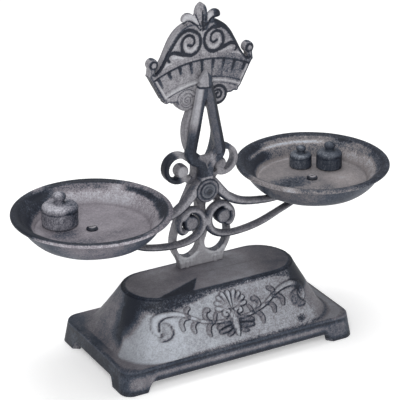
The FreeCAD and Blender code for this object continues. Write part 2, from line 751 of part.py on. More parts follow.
def fixings():
    """Pivot, post and pan fixings."""
    hub = D["hub_height"]
    half = D["beam_thickness"] / 2
    shank = D["pivot_radius"]
    bore = shank + D["fit"]
    hub_face = -(half + 0.6)
    post_back = D["post_front"] + D["post_thickness"]
    nut_height = 3.6
    front_washer = 0.8
    back_washer = 1.0
    head_seat = hub_face - front_washer
    nut_back = post_back + back_washer + nut_height
    pivot_length = nut_back + 2 - head_seat
    gap = D["post_front"] - half
    pieces = [
        place(screw("pivot_screw", shank, pivot_length, 3.6, 2.0, 0.9), 0, head_seat, hub, FORWARD),
        place(washer("pivot_front_washer", Size.of(5.8), bore, front_washer), 0, hub_face, hub, FORWARD),
        place(washer("pivot_spacer", Size.of(7.0), bore, gap), 0, D["post_front"], hub, FORWARD),
        place(washer("pivot_back_washer", Size.of(5.4), bore, back_washer),
              0, post_back + back_washer, hub, FORWARD),
        place(hex_nut("pivot_nut", 4.7, bore, nut_height), 0, nut_back, hub, FORWARD),
    ]
    upside_down = Rotation(Vector(1, 0, 0), 180)
    under_deck = D["deck_height"] - D["wall"]
    screw_x = D["post_screw_spacing"] / 2
    small_bore = D["screw_radius"] + D["fit"]
    post_screw = place(screw("post_screw", D["screw_radius"], 11.5, 3.8, 2.4, 0.9),
                       screw_x, post_middle(), under_deck - 1, upside_down)
    post_washer = place(washer("post_washer", Size.of(4.4), small_bore, 1.0),
                        screw_x, post_middle(), under_deck - 1)
    floor = D["pan_rim_height"] - D["pan_depth"]
    seat = floor - D["pan_floor"] - D["pan_boss"]
    under_pad = seat - D["pad_thickness"]
    pan_bore = D["pan_screw_radius"] + D["fit"]
    pan_screw = place(screw("pan_screw", D["pan_screw_radius"], floor - under_pad + 6.5, 4.6, 2.6, 1.1),
                      D["arm_length"], 0, floor)
    pan_washer = place(washer("pan_washer", Size.of(5.4), pan_bore, 1.0), D["arm_length"], 0, under_pad - 1)
    pan_nut = place(hex_nut("pan_nut", 4.7, pan_bore, 4.0), D["arm_length"], 0, under_pad - 5)
    pieces += [
        mirrored_pair("post_screws", post_screw), mirrored_pair("post_screw_washers", post_washer),
        mirrored_pair("pan_screws", pan_screw), mirrored_pair("pan_screw_washers", pan_washer),
        mirrored_pair("pan_screw_nuts", pan_nut),
    ]
    return pieces


def build():
    arm = D["arm_length"]
    pieces = [base_casting(), post_casting(), beam_casting()]
    pieces += fixings()
    pieces += [pan("pan_left", -1), pan("pan_right", 1)]
    pieces.append(weight("weight_large", D["large_radius"], D["large_height"], -arm - 17.6, 20.9))
    pieces.append(weight("weight_medium", D["medium_radius"], D["medium_height"], arm + 25.6, 14.0))
    pieces.append(weight("weight_small", D["small_radius"], D["small_height"], arm + 5.6, 26.9))
    return pieces


def write_parts(pieces):
    doc.recompute()
    for item in doc.Objects:
        if "Invalid" in item.State or "Error" in item.State:
            raise RuntimeError("%s did not build: %s" % (item.Label, item.State))
    os.makedirs("parts", exist_ok=True)
    for item in pieces:
        shape = item.Shape
        if shape.isNull() or not shape.isValid():
            raise RuntimeError("%s has no valid shape" % item.Label)
        shape.exportStep("parts/%s.step" % item.Label)
        print("%-20s solids %d  volume %.1f" % (item.Label, len(shape.Solids), shape.Volume))


write_parts(build())
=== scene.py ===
import math
import bmesh
import bpy
import numpy as np
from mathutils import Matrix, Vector, kdtree


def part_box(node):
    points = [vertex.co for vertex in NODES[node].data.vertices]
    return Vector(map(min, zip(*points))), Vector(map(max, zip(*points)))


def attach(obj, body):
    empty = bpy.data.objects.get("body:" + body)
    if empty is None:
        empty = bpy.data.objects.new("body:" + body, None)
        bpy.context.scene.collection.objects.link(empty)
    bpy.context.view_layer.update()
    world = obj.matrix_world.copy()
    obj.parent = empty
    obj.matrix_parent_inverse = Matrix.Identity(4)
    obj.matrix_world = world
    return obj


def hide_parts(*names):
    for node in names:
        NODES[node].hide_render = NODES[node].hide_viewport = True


# Looks of a cast-iron balance scale: softened castings with carved relief and a rubbed
# navy-over-grey patina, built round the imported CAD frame.  Lengths are in millimetres, except
# in the lights and the camera, and MM turns one into the scene's metres.  +Z is up and the
# front faces -Y; a compass angle is 0 degrees towards +X, 90 at the back and 270 in front.

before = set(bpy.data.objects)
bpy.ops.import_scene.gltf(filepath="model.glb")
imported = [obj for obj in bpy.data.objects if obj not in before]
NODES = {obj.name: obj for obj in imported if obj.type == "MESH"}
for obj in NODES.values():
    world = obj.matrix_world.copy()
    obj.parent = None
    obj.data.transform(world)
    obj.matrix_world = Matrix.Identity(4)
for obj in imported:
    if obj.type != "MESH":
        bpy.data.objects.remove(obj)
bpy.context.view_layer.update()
MM = 0.001
PLAN = np.array([1, 1, 0])          # keeps the first two of three numbers


# ---------------------------------------------------------------- numbers and small formulas

def smooth(edge0, edge1, value):
    """0 below edge0, 1 above edge1, smooth between; works on arrays and with edges swapped."""
    share = np.clip((value - edge0) / (edge1 - edge0), 0.0, 1.0)
    return share * share * (3.0 - 2.0 * share)


def window(value, start, full, fading, stop):
    """0 outside start to stop, 1 from full to fading, smooth between."""
    return smooth(start, full, value) * smooth(stop, fading, value)


def bell(value, centre, spread):
    """1 at centre, falling away on both sides."""
    return np.exp(-((value - centre) / spread) ** 2)


def between(start, end, share):
    return start + (end - start) * share


def blob(points, centre, radii, softness=0.9):
    """A soft ellipse: 1 in its middle, 0 at its edge; softness is the share of it that fades."""
    offset = (points - np.array(centre)) / np.array(radii)
    return smooth(1.0, 1.0 - softness, np.sqrt((offset ** 2).sum(axis=1)))


def stains(points, *spots):
    """Sum of soft ellipses, each given as (amount, centre, radii)."""
    return sum(amount * blob(points, centre, radii) for amount, centre, radii in spots)


def wobble(points, size, wave):
    """The uneven surface of a hand-finished casting."""
    x, y, z = (points / wave).T
    waves = np.sin(x + 1.3 * z + 0.7) + np.sin(1.7 * y - 0.9 * x + 2.1) + np.sin(1.3 * z - 0.8 * y)
    return size * waves / 3


def facing_of(normal):
    """Compass direction in degrees that each (x, y) points to."""
    return np.degrees(np.arctan2(normal[:, 1], normal[:, 0])) % 360


def curve_points(knots, count):
    """Points along a smooth Catmull-Rom curve through the knots; each knot may hold any values."""
    knots = np.array(knots, float)
    padded = np.vstack([2 * knots[0] - knots[1], knots, 2 * knots[-1] - knots[-2]])
    places = np.linspace(0, len(knots) - 1, count)
    spans = np.minimum(places.astype(int), len(knots) - 2)
    t = (places - spans)[:, None]
    a, b, c, d = (padded[spans + step] for step in range(4))
    return 0.5 * (2 * b + (c - a) * t + (2 * a - 5 * b + 4 * c - d) * t ** 2
                  + (3 * b - a - 3 * c + d) * t ** 3)


# ---------------------------------------------------------------- meshes

def node_box(node):
    """Lowest and highest corner of a CAD node."""
    low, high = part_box(node)
    return np.array(low) / MM, np.array(high) / MM


def new_object(name, points, faces):
    mesh = bpy.data.meshes.new(name)
    mesh.from_pydata([tuple(point) for point in np.array(points) * MM], [], faces)
    mesh.validate()
    mesh.update()
    item = bpy.data.objects.new(name, mesh)
    bpy.context.scene.collection.objects.link(item)
    return item


def points_of(item):
    flat = np.empty(len(item.data.vertices) * 3, np.float32)
    item.data.vertices.foreach_get("co", flat)
    return flat.reshape(-1, 3).astype(float) / MM


def normals_of(item):
    flat = np.empty(len(item.data.vertices) * 3, np.float32)
    item.data.vertex_normals.foreach_get("vector", flat)
    return flat.reshape(-1, 3).astype(float)


def set_points(item, points):
    item.data.vertices.foreach_set("co", (points * MM).astype(np.float32).ravel())
    item.data.update()


def set_value(item, name, values):
    """Stores one number per vertex for the materials to read."""
    layer = item.data.attributes.get(name) or item.data.attributes.new(name, "FLOAT", "POINT")
    layer.data.foreach_set("value", np.asarray(values, np.float32))


def shade_smooth(item):
    item.data.polygons.foreach_set("use_smooth", [True] * len(item.data.polygons))
    item.data.update()


def fix_normals(item):
    work = bmesh.new()
    work.from_mesh(item.data)
    bmesh.ops.recalc_face_normals(work, faces=work.faces)
    work.to_mesh(item.data)
    work.free()
    item.data.update()


def apply_modifiers(item):
    graph = bpy.context.evaluated_depsgraph_get()
    mesh = bpy.data.meshes.new_from_object(item.evaluated_get(graph))
    old = item.data
    item.modifiers.clear()
    item.data = mesh
    bpy.data.meshes.remove(old)


def recast(name, node, voxel, passes):
    """A soft-edged casting made from a CAD node: voxel remesh, then a few smoothing passes."""
    item = bpy.data.objects.new(name, NODES[node].data.copy())
    item.data.materials.clear()
    bpy.context.scene.collection.objects.link(item)
    weld = item.modifiers.new("weld", "WELD")
    weld.merge_threshold = 0.01 * MM
    remesh = item.modifiers.new("remesh", "REMESH")
    remesh.mode = "VOXEL"
    remesh.voxel_size = voxel * MM
    relax = item.modifiers.new("relax", "SMOOTH")
    relax.factor = 0.5
    relax.iterations = passes
    apply_modifiers(item)
    shade_smooth(item)
    return item


def bridge(rings, closed=False):
    """Quads between neighbouring closed rings of equal length."""
    faces = []
    count = len(rings[0])
    last = len(rings) if closed else len(rings) - 1
    for row in range(last):
        here = row * count
        there = (row + 1) % len(rings) * count
        for column in range(count):
            after = (column + 1) % count
            faces.append((here + column, here + after, there + after, there + column))
    return faces


def skinned(name, rings, closed=False):
    """Solid through the rings, its two ends capped unless the rings close on themselves."""
    faces = bridge(rings, closed)
    if not closed:
        count = len(rings[0])
        faces.append(tuple(range(count))[::-1])
        faces.append(tuple(range((len(rings) - 1) * count, len(rings) * count)))
    item = new_object(name, np.vstack(rings), faces)
    fix_normals(item)
    return item


def turned(name, profile, segments, centre, closed):
    """Solid of revolution; profile is (radius, height) points, closed when it doesn't touch the axis."""
    angles = np.linspace(0, 2 * math.pi, segments, endpoint=False)
    circle = np.stack([np.cos(angles), np.sin(angles), np.zeros(segments)], axis=1)
    rings = [circle * radius + centre + (0, 0, height) for radius, height in profile]
    item = skinned(name, rings, closed)
    shade_smooth(item)
    return item


# ---------------------------------------------------------------- carved relief

def stroke(knots, height, samples=28):
    """A raised line: knots are (x, y, half width) and height is how far it stands proud."""
    return curve_points(knots, samples), height


def both_sides(strokes):
    """The strokes and their mirror images."""
    return strokes + [(line * np.array([-1, 1, 1]), height) for line, height in strokes]


def relief(points, strokes, reach=2.0):
    """Height of the strokes at each (x, y) point, and how near each point is to a stroke's foot."""
    height = np.zeros(len(points))
    outline = np.zeros(len(points))
    for line, rise in strokes:
        margin = line[:, 2].max() + reach
        low = line[:, :2].min(axis=0) - margin
        high = line[:, :2].max(axis=0) + margin
        near = np.nonzero(((points > low) & (points < high)).all(axis=1))[0]
        if len(near) == 0:
            continue
        spots = points[near]
        best = np.full(len(near), 1e9)
        for a, b in zip(line[:-1], line[1:]):
            span = b[:2] - a[:2]
            t = np.clip(((spots - a[:2]) @ span) / max(span @ span, 1e-6), 0, 1)
            away = np.hypot(*(spots - a[:2] - t[:, None] * span).T)
            best = np.minimum(best, away / np.maximum(between(a[2], b[2], t), 1e-3))
        dome = np.clip(1 - best ** 2, 0, 1)
        bump = rise * (np.sqrt(dome) if rise > 0 else dome)
        height[near] = np.where(np.abs(bump) > np.abs(height[near]), bump, height[near])
        foot = bell(best, 1.15, 0.35) * (np.abs(bump) < abs(rise) * 0.6)
        outline[near] = np.maximum(outline[near], foot)
    return height, outline


# ---------------------------------------------------------------- materials

def paint(red, green, blue):
    """Linear colour from the usual 0 to 255 values."""
    channels = []
    for value in (red, green, blue):
        share = value / 255
        channels.append(share / 12.92 if share <= 0.04045 else ((share + 0.055) / 1.055) ** 2.4)
    return (*channels, 1.0)


DEEP = paint(25, 30, 42)            # untouched navy undercoat
SLATE = paint(56, 64, 78)           # navy seen through a little rubbing
CLOUD_SCALE = 55                    # noise scales are features per metre
PATCH_SCALE = 230
SAND_SCALE = 760
STREAK_SCALE = 700
NOISE_LOW, NOISE_HIGH = 0.3, 0.7    # the range that most of a noise lies in


def add_node(tree, kind, **settings):
    item = tree.nodes.new("ShaderNode" + kind)
    for key, value in settings.items():
        setattr(item, key, value)
    return item


def noise(tree, where, scale, detail, roughness=0.6):
    item = add_node(tree, "TexNoise")
    item.inputs["Scale"].default_value = scale
    item.inputs["Detail"].default_value = detail
    item.inputs["Roughness"].default_value = roughness
    tree.links.new(where, item.inputs["Vector"])
    return item.outputs["Fac"]


def scaled(tree, value, out_low, out_high, low=NOISE_LOW, high=NOISE_HIGH):
    """Remaps a value from low..high to a new range, clamped to it."""
    item = add_node(tree, "MapRange", clamp=True)
    for name, number in zip(("From Min", "From Max", "To Min", "To Max"), (low, high, out_low, out_high)):
        item.inputs[name].default_value = number
    tree.links.new(value, item.inputs["Value"])
    return item.outputs["Result"]


def combined(tree, operation, a, b):
    item = add_node(tree, "Math", operation=operation)
    for socket, value in zip(item.inputs, (a, b)):
        if isinstance(value, (int, float)):
            socket.default_value = value
        else:
            tree.links.new(value, socket)
    return item.outputs["Value"]


def patina_colour(tree, value, light, middle, shade):
    """Colour ramp from rubbed light metal to untouched navy."""
    ramp = add_node(tree, "ValToRGB")
    first, last = ramp.color_ramp.elements
    first.position, first.color = 0.05, paint(*light)
    last.position, last.color = 0.88, DEEP
    for position, colour in ((0.30, paint(*middle)), (0.52, paint(*shade)), (0.70, SLATE)):
        ramp.color_ramp.elements.new(position).color = colour
    tree.links.new(value, ramp.inputs["Fac"])
    return ramp.outputs["Color"]


def patina_material(name, light, middle, shade, grain=1.0, sheen=0.32):
    """Painted cast iron: the mesh's patina value runs from rubbed light (0) to navy (1) and also holds
    painted highlights and painted shade, broken up by broad clouds, a sandy grain and fine brushed streaks;
    "speckle" says how much."""
    material = bpy.data.materials.new(name)
    material.use_nodes = True
    tree = material.node_tree
    tree.nodes.clear()
    place = add_node(tree, "TexCoord").outputs["Object"]
    stretch = add_node(tree, "Mapping")
    stretch.inputs["Scale"].default_value = (1.0, 1.0, 0.16)
    tree.links.new(place, stretch.inputs["Vector"])
    wear_and_shade = add_node(tree, "Attribute", attribute_name="patina_and_shade").outputs["Fac"]
    speckle = add_node(tree, "Attribute", attribute_name="speckle").outputs["Fac"]
    clouds = noise(tree, place, CLOUD_SCALE, 4)
    patches = noise(tree, place, PATCH_SCALE, 3, 0.7)
    sand = noise(tree, place, SAND_SCALE, 3, 0.85)
    streaks = noise(tree, stretch.outputs["Vector"], STREAK_SCALE, 3, 0.7)

    mottle = combined(tree, "ADD", scaled(tree, patches, -0.13 * grain, 0.13 * grain),
                      scaled(tree, sand, -0.24 * grain, 0.24 * grain, 0.36, 0.64))
    mottle = combined(tree, "ADD", mottle, scaled(tree, streaks, -0.08 * grain, 0.08 * grain))
    mottle = combined(tree, "MULTIPLY", mottle, speckle)
    value = combined(tree, "ADD", wear_and_shade, scaled(tree, clouds, -0.06, 0.06))
    value = combined(tree, "ADD", value, mottle)

    surface = add_node(tree, "BsdfPrincipled")
    surface.inputs["Metallic"].default_value = 0.0
    surface.inputs["Specular IOR Level"].default_value = sheen
    tree.links.new(patina_colour(tree, value, light, middle, shade), surface.inputs["Base Color"])
    rough = combined(tree, "ADD", scaled(tree, sand, 0.46, 0.60), scaled(tree, clouds, -0.05, 0.05))
    tree.links.new(rough, surface.inputs["Roughness"])

    unevenness = combined(tree, "ADD", combined(tree, "MULTIPLY", patches, 0.8),
                          combined(tree, "MULTIPLY", sand, 0.5))
    bump = add_node(tree, "Bump")
    bump.inputs["Strength"].default_value = 0.55
    bump.inputs["Distance"].default_value = 0.22 * MM * grain
    tree.links.new(unevenness, bump.inputs["Height"])
    tree.links.new(bump.outputs["Normal"], surface.inputs["Normal"])
    output = add_node(tree, "OutputMaterial")
    tree.links.new(surface.outputs["BSDF"], output.inputs["Surface"])
    return material


def finish_piece(item, node, body, material, patina_and_shade, speckle):
    """Paint, material and body of a piece; the CAD node that it stands for is hidden."""
    set_value(item, "patina_and_shade", patina_and_shade)
    set_value(item, "speckle", speckle + np.zeros(len(item.data.vertices)))
    item.data.materials.clear()
    item.data.materials.append(material)
    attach(item, body)
    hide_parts(node)


# ---------------------------------------------------------------- base

BASE_LOW, BASE_HIGH = node_box("base_casting")
BASE_CENTRE = (BASE_LOW + BASE_HIGH) / 2 * PLAN
BASE_HALF = (BASE_HIGH - BASE_LOW) / 2
DECK_Z = BASE_HIGH[2]
FLANGE_Z = 20.7
# Outlines as (half length, half depth, corner radius).
FEET = np.array([BASE_HALF[0], BASE_HALF[1], 9.5])
FLANGE = np.array([BASE_HALF[0] - 2.2, BASE_HALF[1] - 2.2, 12.0])
SLOPE = np.array([FLANGE[0] - 11, FLANGE[1] - 2, 36.0])
DECK = np.array([75.8, 28.2, 28.2])
WALL = 4.5
FOOT_LENGTH = 23
FOOT_GAP = 8
SHOULDER = 4.5
LONG_COLUMNS = 210
END_COLUMNS = 40
CORNER_COLUMNS = 30
SLOPE_ROWS = 74
RIM_ROWS = 3
SLOPE_LENGTH = math.hypot(SLOPE[1] - DECK[1], DECK_Z - FLANGE_Z)


def outline(shape):
    """Closed loop round a rounded rectangle, with the same number of columns whatever its size."""
    half = np.array(shape[:2])
    corner = min(shape[2], half.min() - 0.3)
    points = []
    for side, columns in enumerate((LONG_COLUMNS, END_COLUMNS) * 2):
        turn = math.radians(90 * side - 90)
        out = np.array([math.cos(turn), math.sin(turn)])
        along = np.array([-out[1], out[0]])
        straight = half - corner
        points += [out * half + along * straight * (2 * column / columns - 1) for column in range(columns)]
        for column in range(CORNER_COLUMNS):
            around = turn + math.pi / 2 * column / CORNER_COLUMNS
            points.append((out + along) * straight + corner * np.array([math.cos(around), math.sin(around)]))
    return np.array(points)


def underside(points):
    """Height of the lower edge: feet at the corners, low arches between them."""
    def arch(along, half):
        share = np.clip((half - FOOT_LENGTH - np.abs(along)) / SHOULDER, 0, 1)
        return FOOT_GAP * np.sqrt(1 - (1 - share) ** 2)
    x, y = points.T
    long_side = arch(x, FLANGE[0]) * (np.abs(y) > FLANGE[1] - 8)
    end_side = arch(y, FLANGE[1]) * (np.abs(x) > FLANGE[0] - 8)
    return np.maximum(long_side, end_side)


def ring(shape, z):
    flat = outline(shape)
    return np.column_stack([flat, z + np.zeros(len(flat))])


def flank_ring(z, inset=0.0):
    """Ring on the outside of the flange, which leans out towards the feet."""
    top = outline(FLANGE - inset)
    foot = outline(FEET - inset)
    heights = z + np.zeros(len(top))
    return np.column_stack([between(top, foot, (1 - heights / FLANGE_Z)[:, None]), heights])


def inner_rings(low, foot_edge):
    """Rings of the hollow inside, from the middle of the deck down to the foot."""
    deck_z = DECK_Z - WALL
    flange_z = FLANGE_Z - WALL
    rings = []
    for share in np.linspace(0.02, 1, 5):
        inset = WALL + (1 - share) * (DECK[1] - WALL)
        rings.append(ring(DECK - PLAN * inset, deck_z))
    for share in np.linspace(0.15, 1, 6):
        wall = WALL * np.array([1, 1, share])
        rings.append(ring(between(DECK, SLOPE, share) - wall, between(deck_z, flange_z, share)))
    for share in (1, 0.75, 0.5, 0.25):
        rings.append(ring(FLANGE - WALL, between(low, flange_z, share)))
    rings.append(ring(FLANGE - WALL, low + foot_edge))
    rings.append(ring(FLANGE - WALL + foot_edge, low))
    return rings


def base_rings():
    """All rings of the base, out and over from inside to the middle of the deck, and the slope's first."""
    edge = 1.5
    foot_edge = 0.9
    deck_edge = 1.3
    low = underside(outline(FLANGE))
    rings = inner_rings(low, foot_edge)
    rings.append(flank_ring(low, foot_edge))
    rings.append(flank_ring(low + foot_edge))
    for share in np.linspace(0.12, 1, 12):
        rings.append(flank_ring(between(low + foot_edge, FLANGE_Z - edge, share)))
    for turn in np.radians([22, 45, 68, 90]):
        rings.append(flank_ring(FLANGE_Z - edge + edge * math.sin(turn), edge * (1 - math.cos(turn))))
    for share in (0.2, 0.4, 0.58):
        spread = (1 - share) * (1 - edge / 11)
        rings.append(ring(SLOPE + (FLANGE - SLOPE) * spread * np.array([1, 0.6, 1]), FLANGE_Z))
    first_slope_row = len(rings)
    for share in np.arange(SLOPE_ROWS + 1) / SLOPE_ROWS:
        flare = 0.8 * math.exp(-share / 0.05) * np.array([3, 0.5, 0])
        rings.append(ring(between(SLOPE, DECK, share) + flare, between(FLANGE_Z, DECK_Z - deck_edge, share)))
    for turn in np.radians([30, 60, 90]):
        inset = 0.7 + edge * math.sin(turn)
        rings.append(ring(DECK - PLAN * inset, DECK_Z - deck_edge * math.cos(turn)))
    for share in np.linspace(0.92, 0.02, 22):
        rings.append(ring(DECK - PLAN * between(DECK[1], edge + 0.7, share), DECK_Z))
    return rings, first_slope_row


def garland():
    """Relief of the front as two lists: the plain light strokes, and those that keep dark paint."""
    stem = stroke([(3, 20.0, 1.0), (10, 20.3, 1.1), (16, 20.7, 1.1), (22, 22.4, 1.2), (30, 25.3, 1.3),
                   (38, 30.2, 1.4), (45, 34.0, 1.7), (52, 36.2, 2.1), (59, 36.2, 2.4), (64.8, 33.2, 2.6),
                   (67.6, 28.4, 2.5), (67.8, 23.8, 2.1), (66.0, 20.4, 1.2)], 1.7, 90)
    bud = stroke([(15.0, 20.8, 1.0), (9.4, 19.6, 1.2), (4.6, 20.8, 1.4), (2.4, 24.0, 1.5), (3.6, 27.6, 1.5),
                  (6.8, 28.0, 1.5), (7.4, 25.4, 1.6), (5.4, 24.6, 1.3)], 1.6, 40)
    plain = [stem, bud]
    fan_foot = np.array([1.0, 29.4])
    for angle, length in ((19, 13.4), (39, 13.0), (60, 12.6), (82, 11.6)):
        turn = math.radians(angle)
        reach = np.array([math.sin(turn), math.cos(turn)]) * length
        petal = [(*(fan_foot + reach * share), width)
                 for share, width in ((0.0, 0.5), (0.45, 1.5), (0.8, 2.1), (1.0, 1.7))]
        plain.append(stroke(petal, 1.7, 14))
    end_comma = stroke([(60.8, 28.8, 1.4), (58.6, 26.0, 2.8), (58.8, 22.0, 3.4), (61.6, 19.0, 2.8),
                        (65.6, 17.0, 1.4)], 2.1, 30)
    hooks_above = [
        stroke([(17.4, 21.2, 0.9), (16.6, 24.6, 1.2), (15.0, 27.8, 1.1)], 1.2, 12),
        stroke([(21.0, 22.6, 1.0), (24.2, 25.2, 1.3), (24.8, 28.6, 1.5), (23.0, 31.8, 1.8),
                (20.8, 32.0, 1.7)], 1.5, 20),
        stroke([(38.0, 30.4, 1.1), (40.2, 32.8, 1.4), (39.6, 35.8, 1.7), (37.2, 37.4, 1.6)], 1.5, 16),
    ]
    arches_below = [
        stroke([(30.6, 25.4, 1.0), (34.6, 24.8, 1.5), (37.2, 21.6, 1.7), (36.8, 17.6, 1.2)], 1.5, 16),
        stroke([(39.0, 29.4, 1.1), (43.4, 29.6, 1.6), (46.4, 26.4, 1.8), (46.0, 21.6, 1.2)], 1.5, 16),
        stroke([(18.6, 21.2, 1.0), (22.6, 19.8, 1.5), (24.8, 15.6, 1.6), (24.4, 11.6, 1.0)], 1.4, 16),
    ]
    low_leaves = [
        stroke([(4.6, 17.4, 1.6), (9.6, 17.6, 2.3), (14.8, 15.8, 1.9)], 1.6, 14),
        stroke([(4.4, 14.0, 1.5), (9.0, 12.8, 2.1), (14.4, 12.2, 1.6)], 1.6, 14),
        stroke([(3.0, 11.2, 1.2), (6.2, 9.2, 1.6), (8.8, 8.4, 1.0)], 1.3, 12),
    ]
    centre = [
        stroke([(0, 29.0, 0.6), (0, 35, 1.5), (0, 40.6, 2.1), (0, 42.6, 1.7)], 1.7, 14),
        stroke([(0, 26, 1.4), (0, 22.4, 3.2), (0, 18, 3.9), (0, 13, 3.2), (0, 9, 1.9), (0, 6, 0.6)], 2.0, 30),
    ]
    return both_sides(plain) + centre, both_sides([end_comma] + hooks_above + arches_below + low_leaves)


def carve_garland(chart, front):
    """Height of the garland, its outline, its shaded side and where it stays dark, per vertex."""
    plain, dark = garland()
    spots = chart[front]
    height, foot = relief(spots, plain + dark)
    shaded, _ = relief(spots - np.array([1.2, -0.5]), plain + dark)
    shadow = np.clip((shaded - height) / 1.3, 0, 1)
    stained = np.clip(relief(spots, dark)[0] / 1.2, 0, 1)
    carving = np.zeros((4, len(chart)))
    carving[:, front] = np.array([height, foot, shadow, stained])
    return carving


def make_base():
    rings, first_slope_row = base_rings()
    item = skinned("base", [loop + BASE_CENTRE for loop in rings])
    points = points_of(item)
    normal = normals_of(item)
    local = points - BASE_CENTRE
    step = np.repeat(np.arange(len(rings)), len(rings[0])) - first_slope_row
    on_slope = (step >= 0) & (step <= SLOPE_ROWS)
    front = on_slope & (local[:, 1] < -DECK[1] / 2)
    chart = np.column_stack([local[:, 0], step / SLOPE_ROWS * SLOPE_LENGTH])
    height, foot, shadow, stained = carve_garland(chart, front)
    uneven = wobble(local, 0.16, 8) + wobble(local, 0.10, 3.1)
    set_points(item, points + normal * (height - 0.45 * foot + uneven * on_slope)[:, None])
    shade_smooth(item)
    wear_and_shade, speckle = base_paint(local, normal, step, chart)
    rubbed = np.clip(height / 1.8, 0, 1) * (1 - stained)
    wear_and_shade = wear_and_shade + (0.26 * foot + 0.44 * shadow - 0.10 * rubbed + 0.16 * stained) * front
    iron = patina_material("base_iron_paint", (182, 187, 196), (150, 153, 160), (110, 107, 113))
    finish_piece(item, "base_casting", "stand", iron, wear_and_shade, speckle)


def slope_paint(facing, up, chart, y):
    """Sloping body: light rubbed front under a dark band, navy front corners, grey sides and back."""
    along, climb = chart.T
    wear_and_shade = 0.27 + 0.11 * smooth(-45, 30, along) + 0.10 * blob(chart, (-4, 18), (34, 16))
    band_depth = 4 + 11 * smooth(0, -55, along) + 9 * smooth(44, 66, along)
    band = smooth(SLOPE_LENGTH - band_depth, SLOPE_LENGTH - 0.35 * band_depth, climb)
    band = band * (0.66 + 0.24 * smooth(0, -60, along) + 0.20 * smooth(50, 66, along))
    smudge = 0.84 * blob(chart, (59, 6.5), (9, 6.5))
    wear_and_shade = np.maximum.reduce([wear_and_shade, band, smudge])
    wear_and_shade = wear_and_shade + 0.30 * smooth(3, 0, climb) * smooth(-66, -40, along)
    leaned = window(facing + 58 * (1 - up), 186, 198, 216, 262)
    wear_and_shade = np.maximum(wear_and_shade, 0.93 * leaned * smooth(0.0, 0.4, up) * smooth(168, 178, facing))
    wear_and_shade = wear_and_shade - 0.14 * smooth(206, 236, facing) * smooth(0.85, 0.6, up) * smooth(-30, -60, along)
    wear_and_shade = np.maximum(wear_and_shade, 0.97 * window(facing, 278, 298, 334, 352) * smooth(0.40, 0.66, up))
    side = np.maximum(smooth(276, 304, facing), smooth(100, 60, facing))
    back = 0.55 + 0.12 * smooth(0.6, 0.95, up)
    wear_and_shade = np.where(facing > 180, np.maximum(wear_and_shade, 0.52 * side), back)
    left_end = window(facing, 120, 150, 186, 198)
    end_wear = back + 0.01 + 0.34 * smooth(4, -16, y) * smooth(0.05, 0.25, up)
    end_wear = end_wear - 0.02 * smooth(0.6, 0.95, up)
    wear_and_shade = np.where(left_end > 0, np.maximum(wear_and_shade, end_wear * left_end), wear_and_shade)
    at_front = window(facing, 200, 240, 290, 312)
    return wear_and_shade, 0.28 + at_front * (0.26 + 0.52 * smooth(0.34, 0.60, wear_and_shade))


def flank_paint(local, facing):
    """Outer wall of the flange: navy with a rubbed streak along the arches and the near left foot."""
    x, _, z = local.T
    streak = smooth(2, 6, z - underside(local[:, :2])) * smooth(FLANGE_Z - 2.5, FLANGE_Z - 7, z)
    between_feet = smooth(FLANGE[0] - 18, FLANGE[0] - 40, np.abs(x))
    wear_and_shade = 0.88 - (0.12 + 0.16 * between_feet) * streak * (facing > 180)
    wear_and_shade = wear_and_shade - 0.13 * window(facing, 222, 248, 280, 300) * streak
    return wear_and_shade - 0.12 * blob(local, (14 - FLANGE[0], -FLANGE[1], 9), (16, 20, 8))


def deck_paint(x, y):
    """Grey deck, darker at its right end, with a navy smudge that has two slanting edges."""
    from_tip = x + 13.9, y + 6.2
    above_slant = from_tip[1] - 0.385 * from_tip[0]
    right_of_edge = from_tip[0] - 0.71 * from_tip[1]
    smudge = smooth(1.2, -1.2, above_slant) * smooth(1, -1, right_of_edge)
    wear_and_shade = 0.52 + 0.36 * smudge - 0.07 * smooth(-14, 4, x) + 0.12 * smooth(22, 55, x)
    return wear_and_shade, 0.16 + 2 * smudge * (1 - smudge)


def base_paint(local, normal, step, chart):
    """Patina of the base and how speckled it is; step counts rings up from the foot of the slope."""
    x, y, z = local.T
    facing = facing_of(normal)
    slope = (step >= 0) & (step <= SLOPE_ROWS)
    # Steps below 0 count down over the flange: 3 rings on top, 4 round its edge, 14 down its side.
    flank = (np.abs(normal[:, 2]) < 0.75) & (z < FLANGE_Z - 0.4)
    flange_top = (step < 0) & (step > -4) & ~flank
    lip = (step <= -4) & (step > -9) & (normal[:, 2] > 0.1)
    deck = step > SLOPE_ROWS + RIM_ROWS
    rim = (step >= SLOPE_ROWS) & ~deck
    inside = step < -24
    slope_wear, slope_speckle = slope_paint(facing, step / SLOPE_ROWS, chart, y)
    deck_wear, deck_speckle = deck_paint(x, y)
    top_wear = 0.52 + 0.16 * smooth(-70, -95, x) * smooth(-40, 0, y) - 0.10 * smooth(50, 85, x)
    lip_wear = 0.72 - 0.10 * smooth(60, 90, x)
    wear_and_shade = np.full(len(local), 0.5)
    for zone, level in ((slope, slope_wear), (flank, flank_paint(local, facing)), (flange_top, top_wear),
                        (lip, lip_wear), (deck, deck_wear), (rim, 0.86), (inside, 0.88)):
        wear_and_shade = np.where(zone, level, wear_and_shade)
    speckle = np.full(len(local), 0.5)
    for zone, level in ((slope, slope_speckle), (flank, 0.36), (flange_top, 0.18), (deck, deck_speckle)):
        speckle = np.where(zone, level, speckle)
    return wear_and_shade, speckle


# ---------------------------------------------------------------- castings

def silhouette_distance(points, low, high):
    """How far each point is, seen from the front, from the nearest side wall of the casting."""
    middle = (points[:, 1] > low) & (points[:, 1] < high)
    walls = points[middle]
    tree = kdtree.KDTree(len(walls))
    for number, (x, _, z) in enumerate(walls):
        tree.insert((x, 0.0, z), number)
    tree.balance()
    return np.array([tree.find((x, 0.0, z))[2] for x, _, z in points])


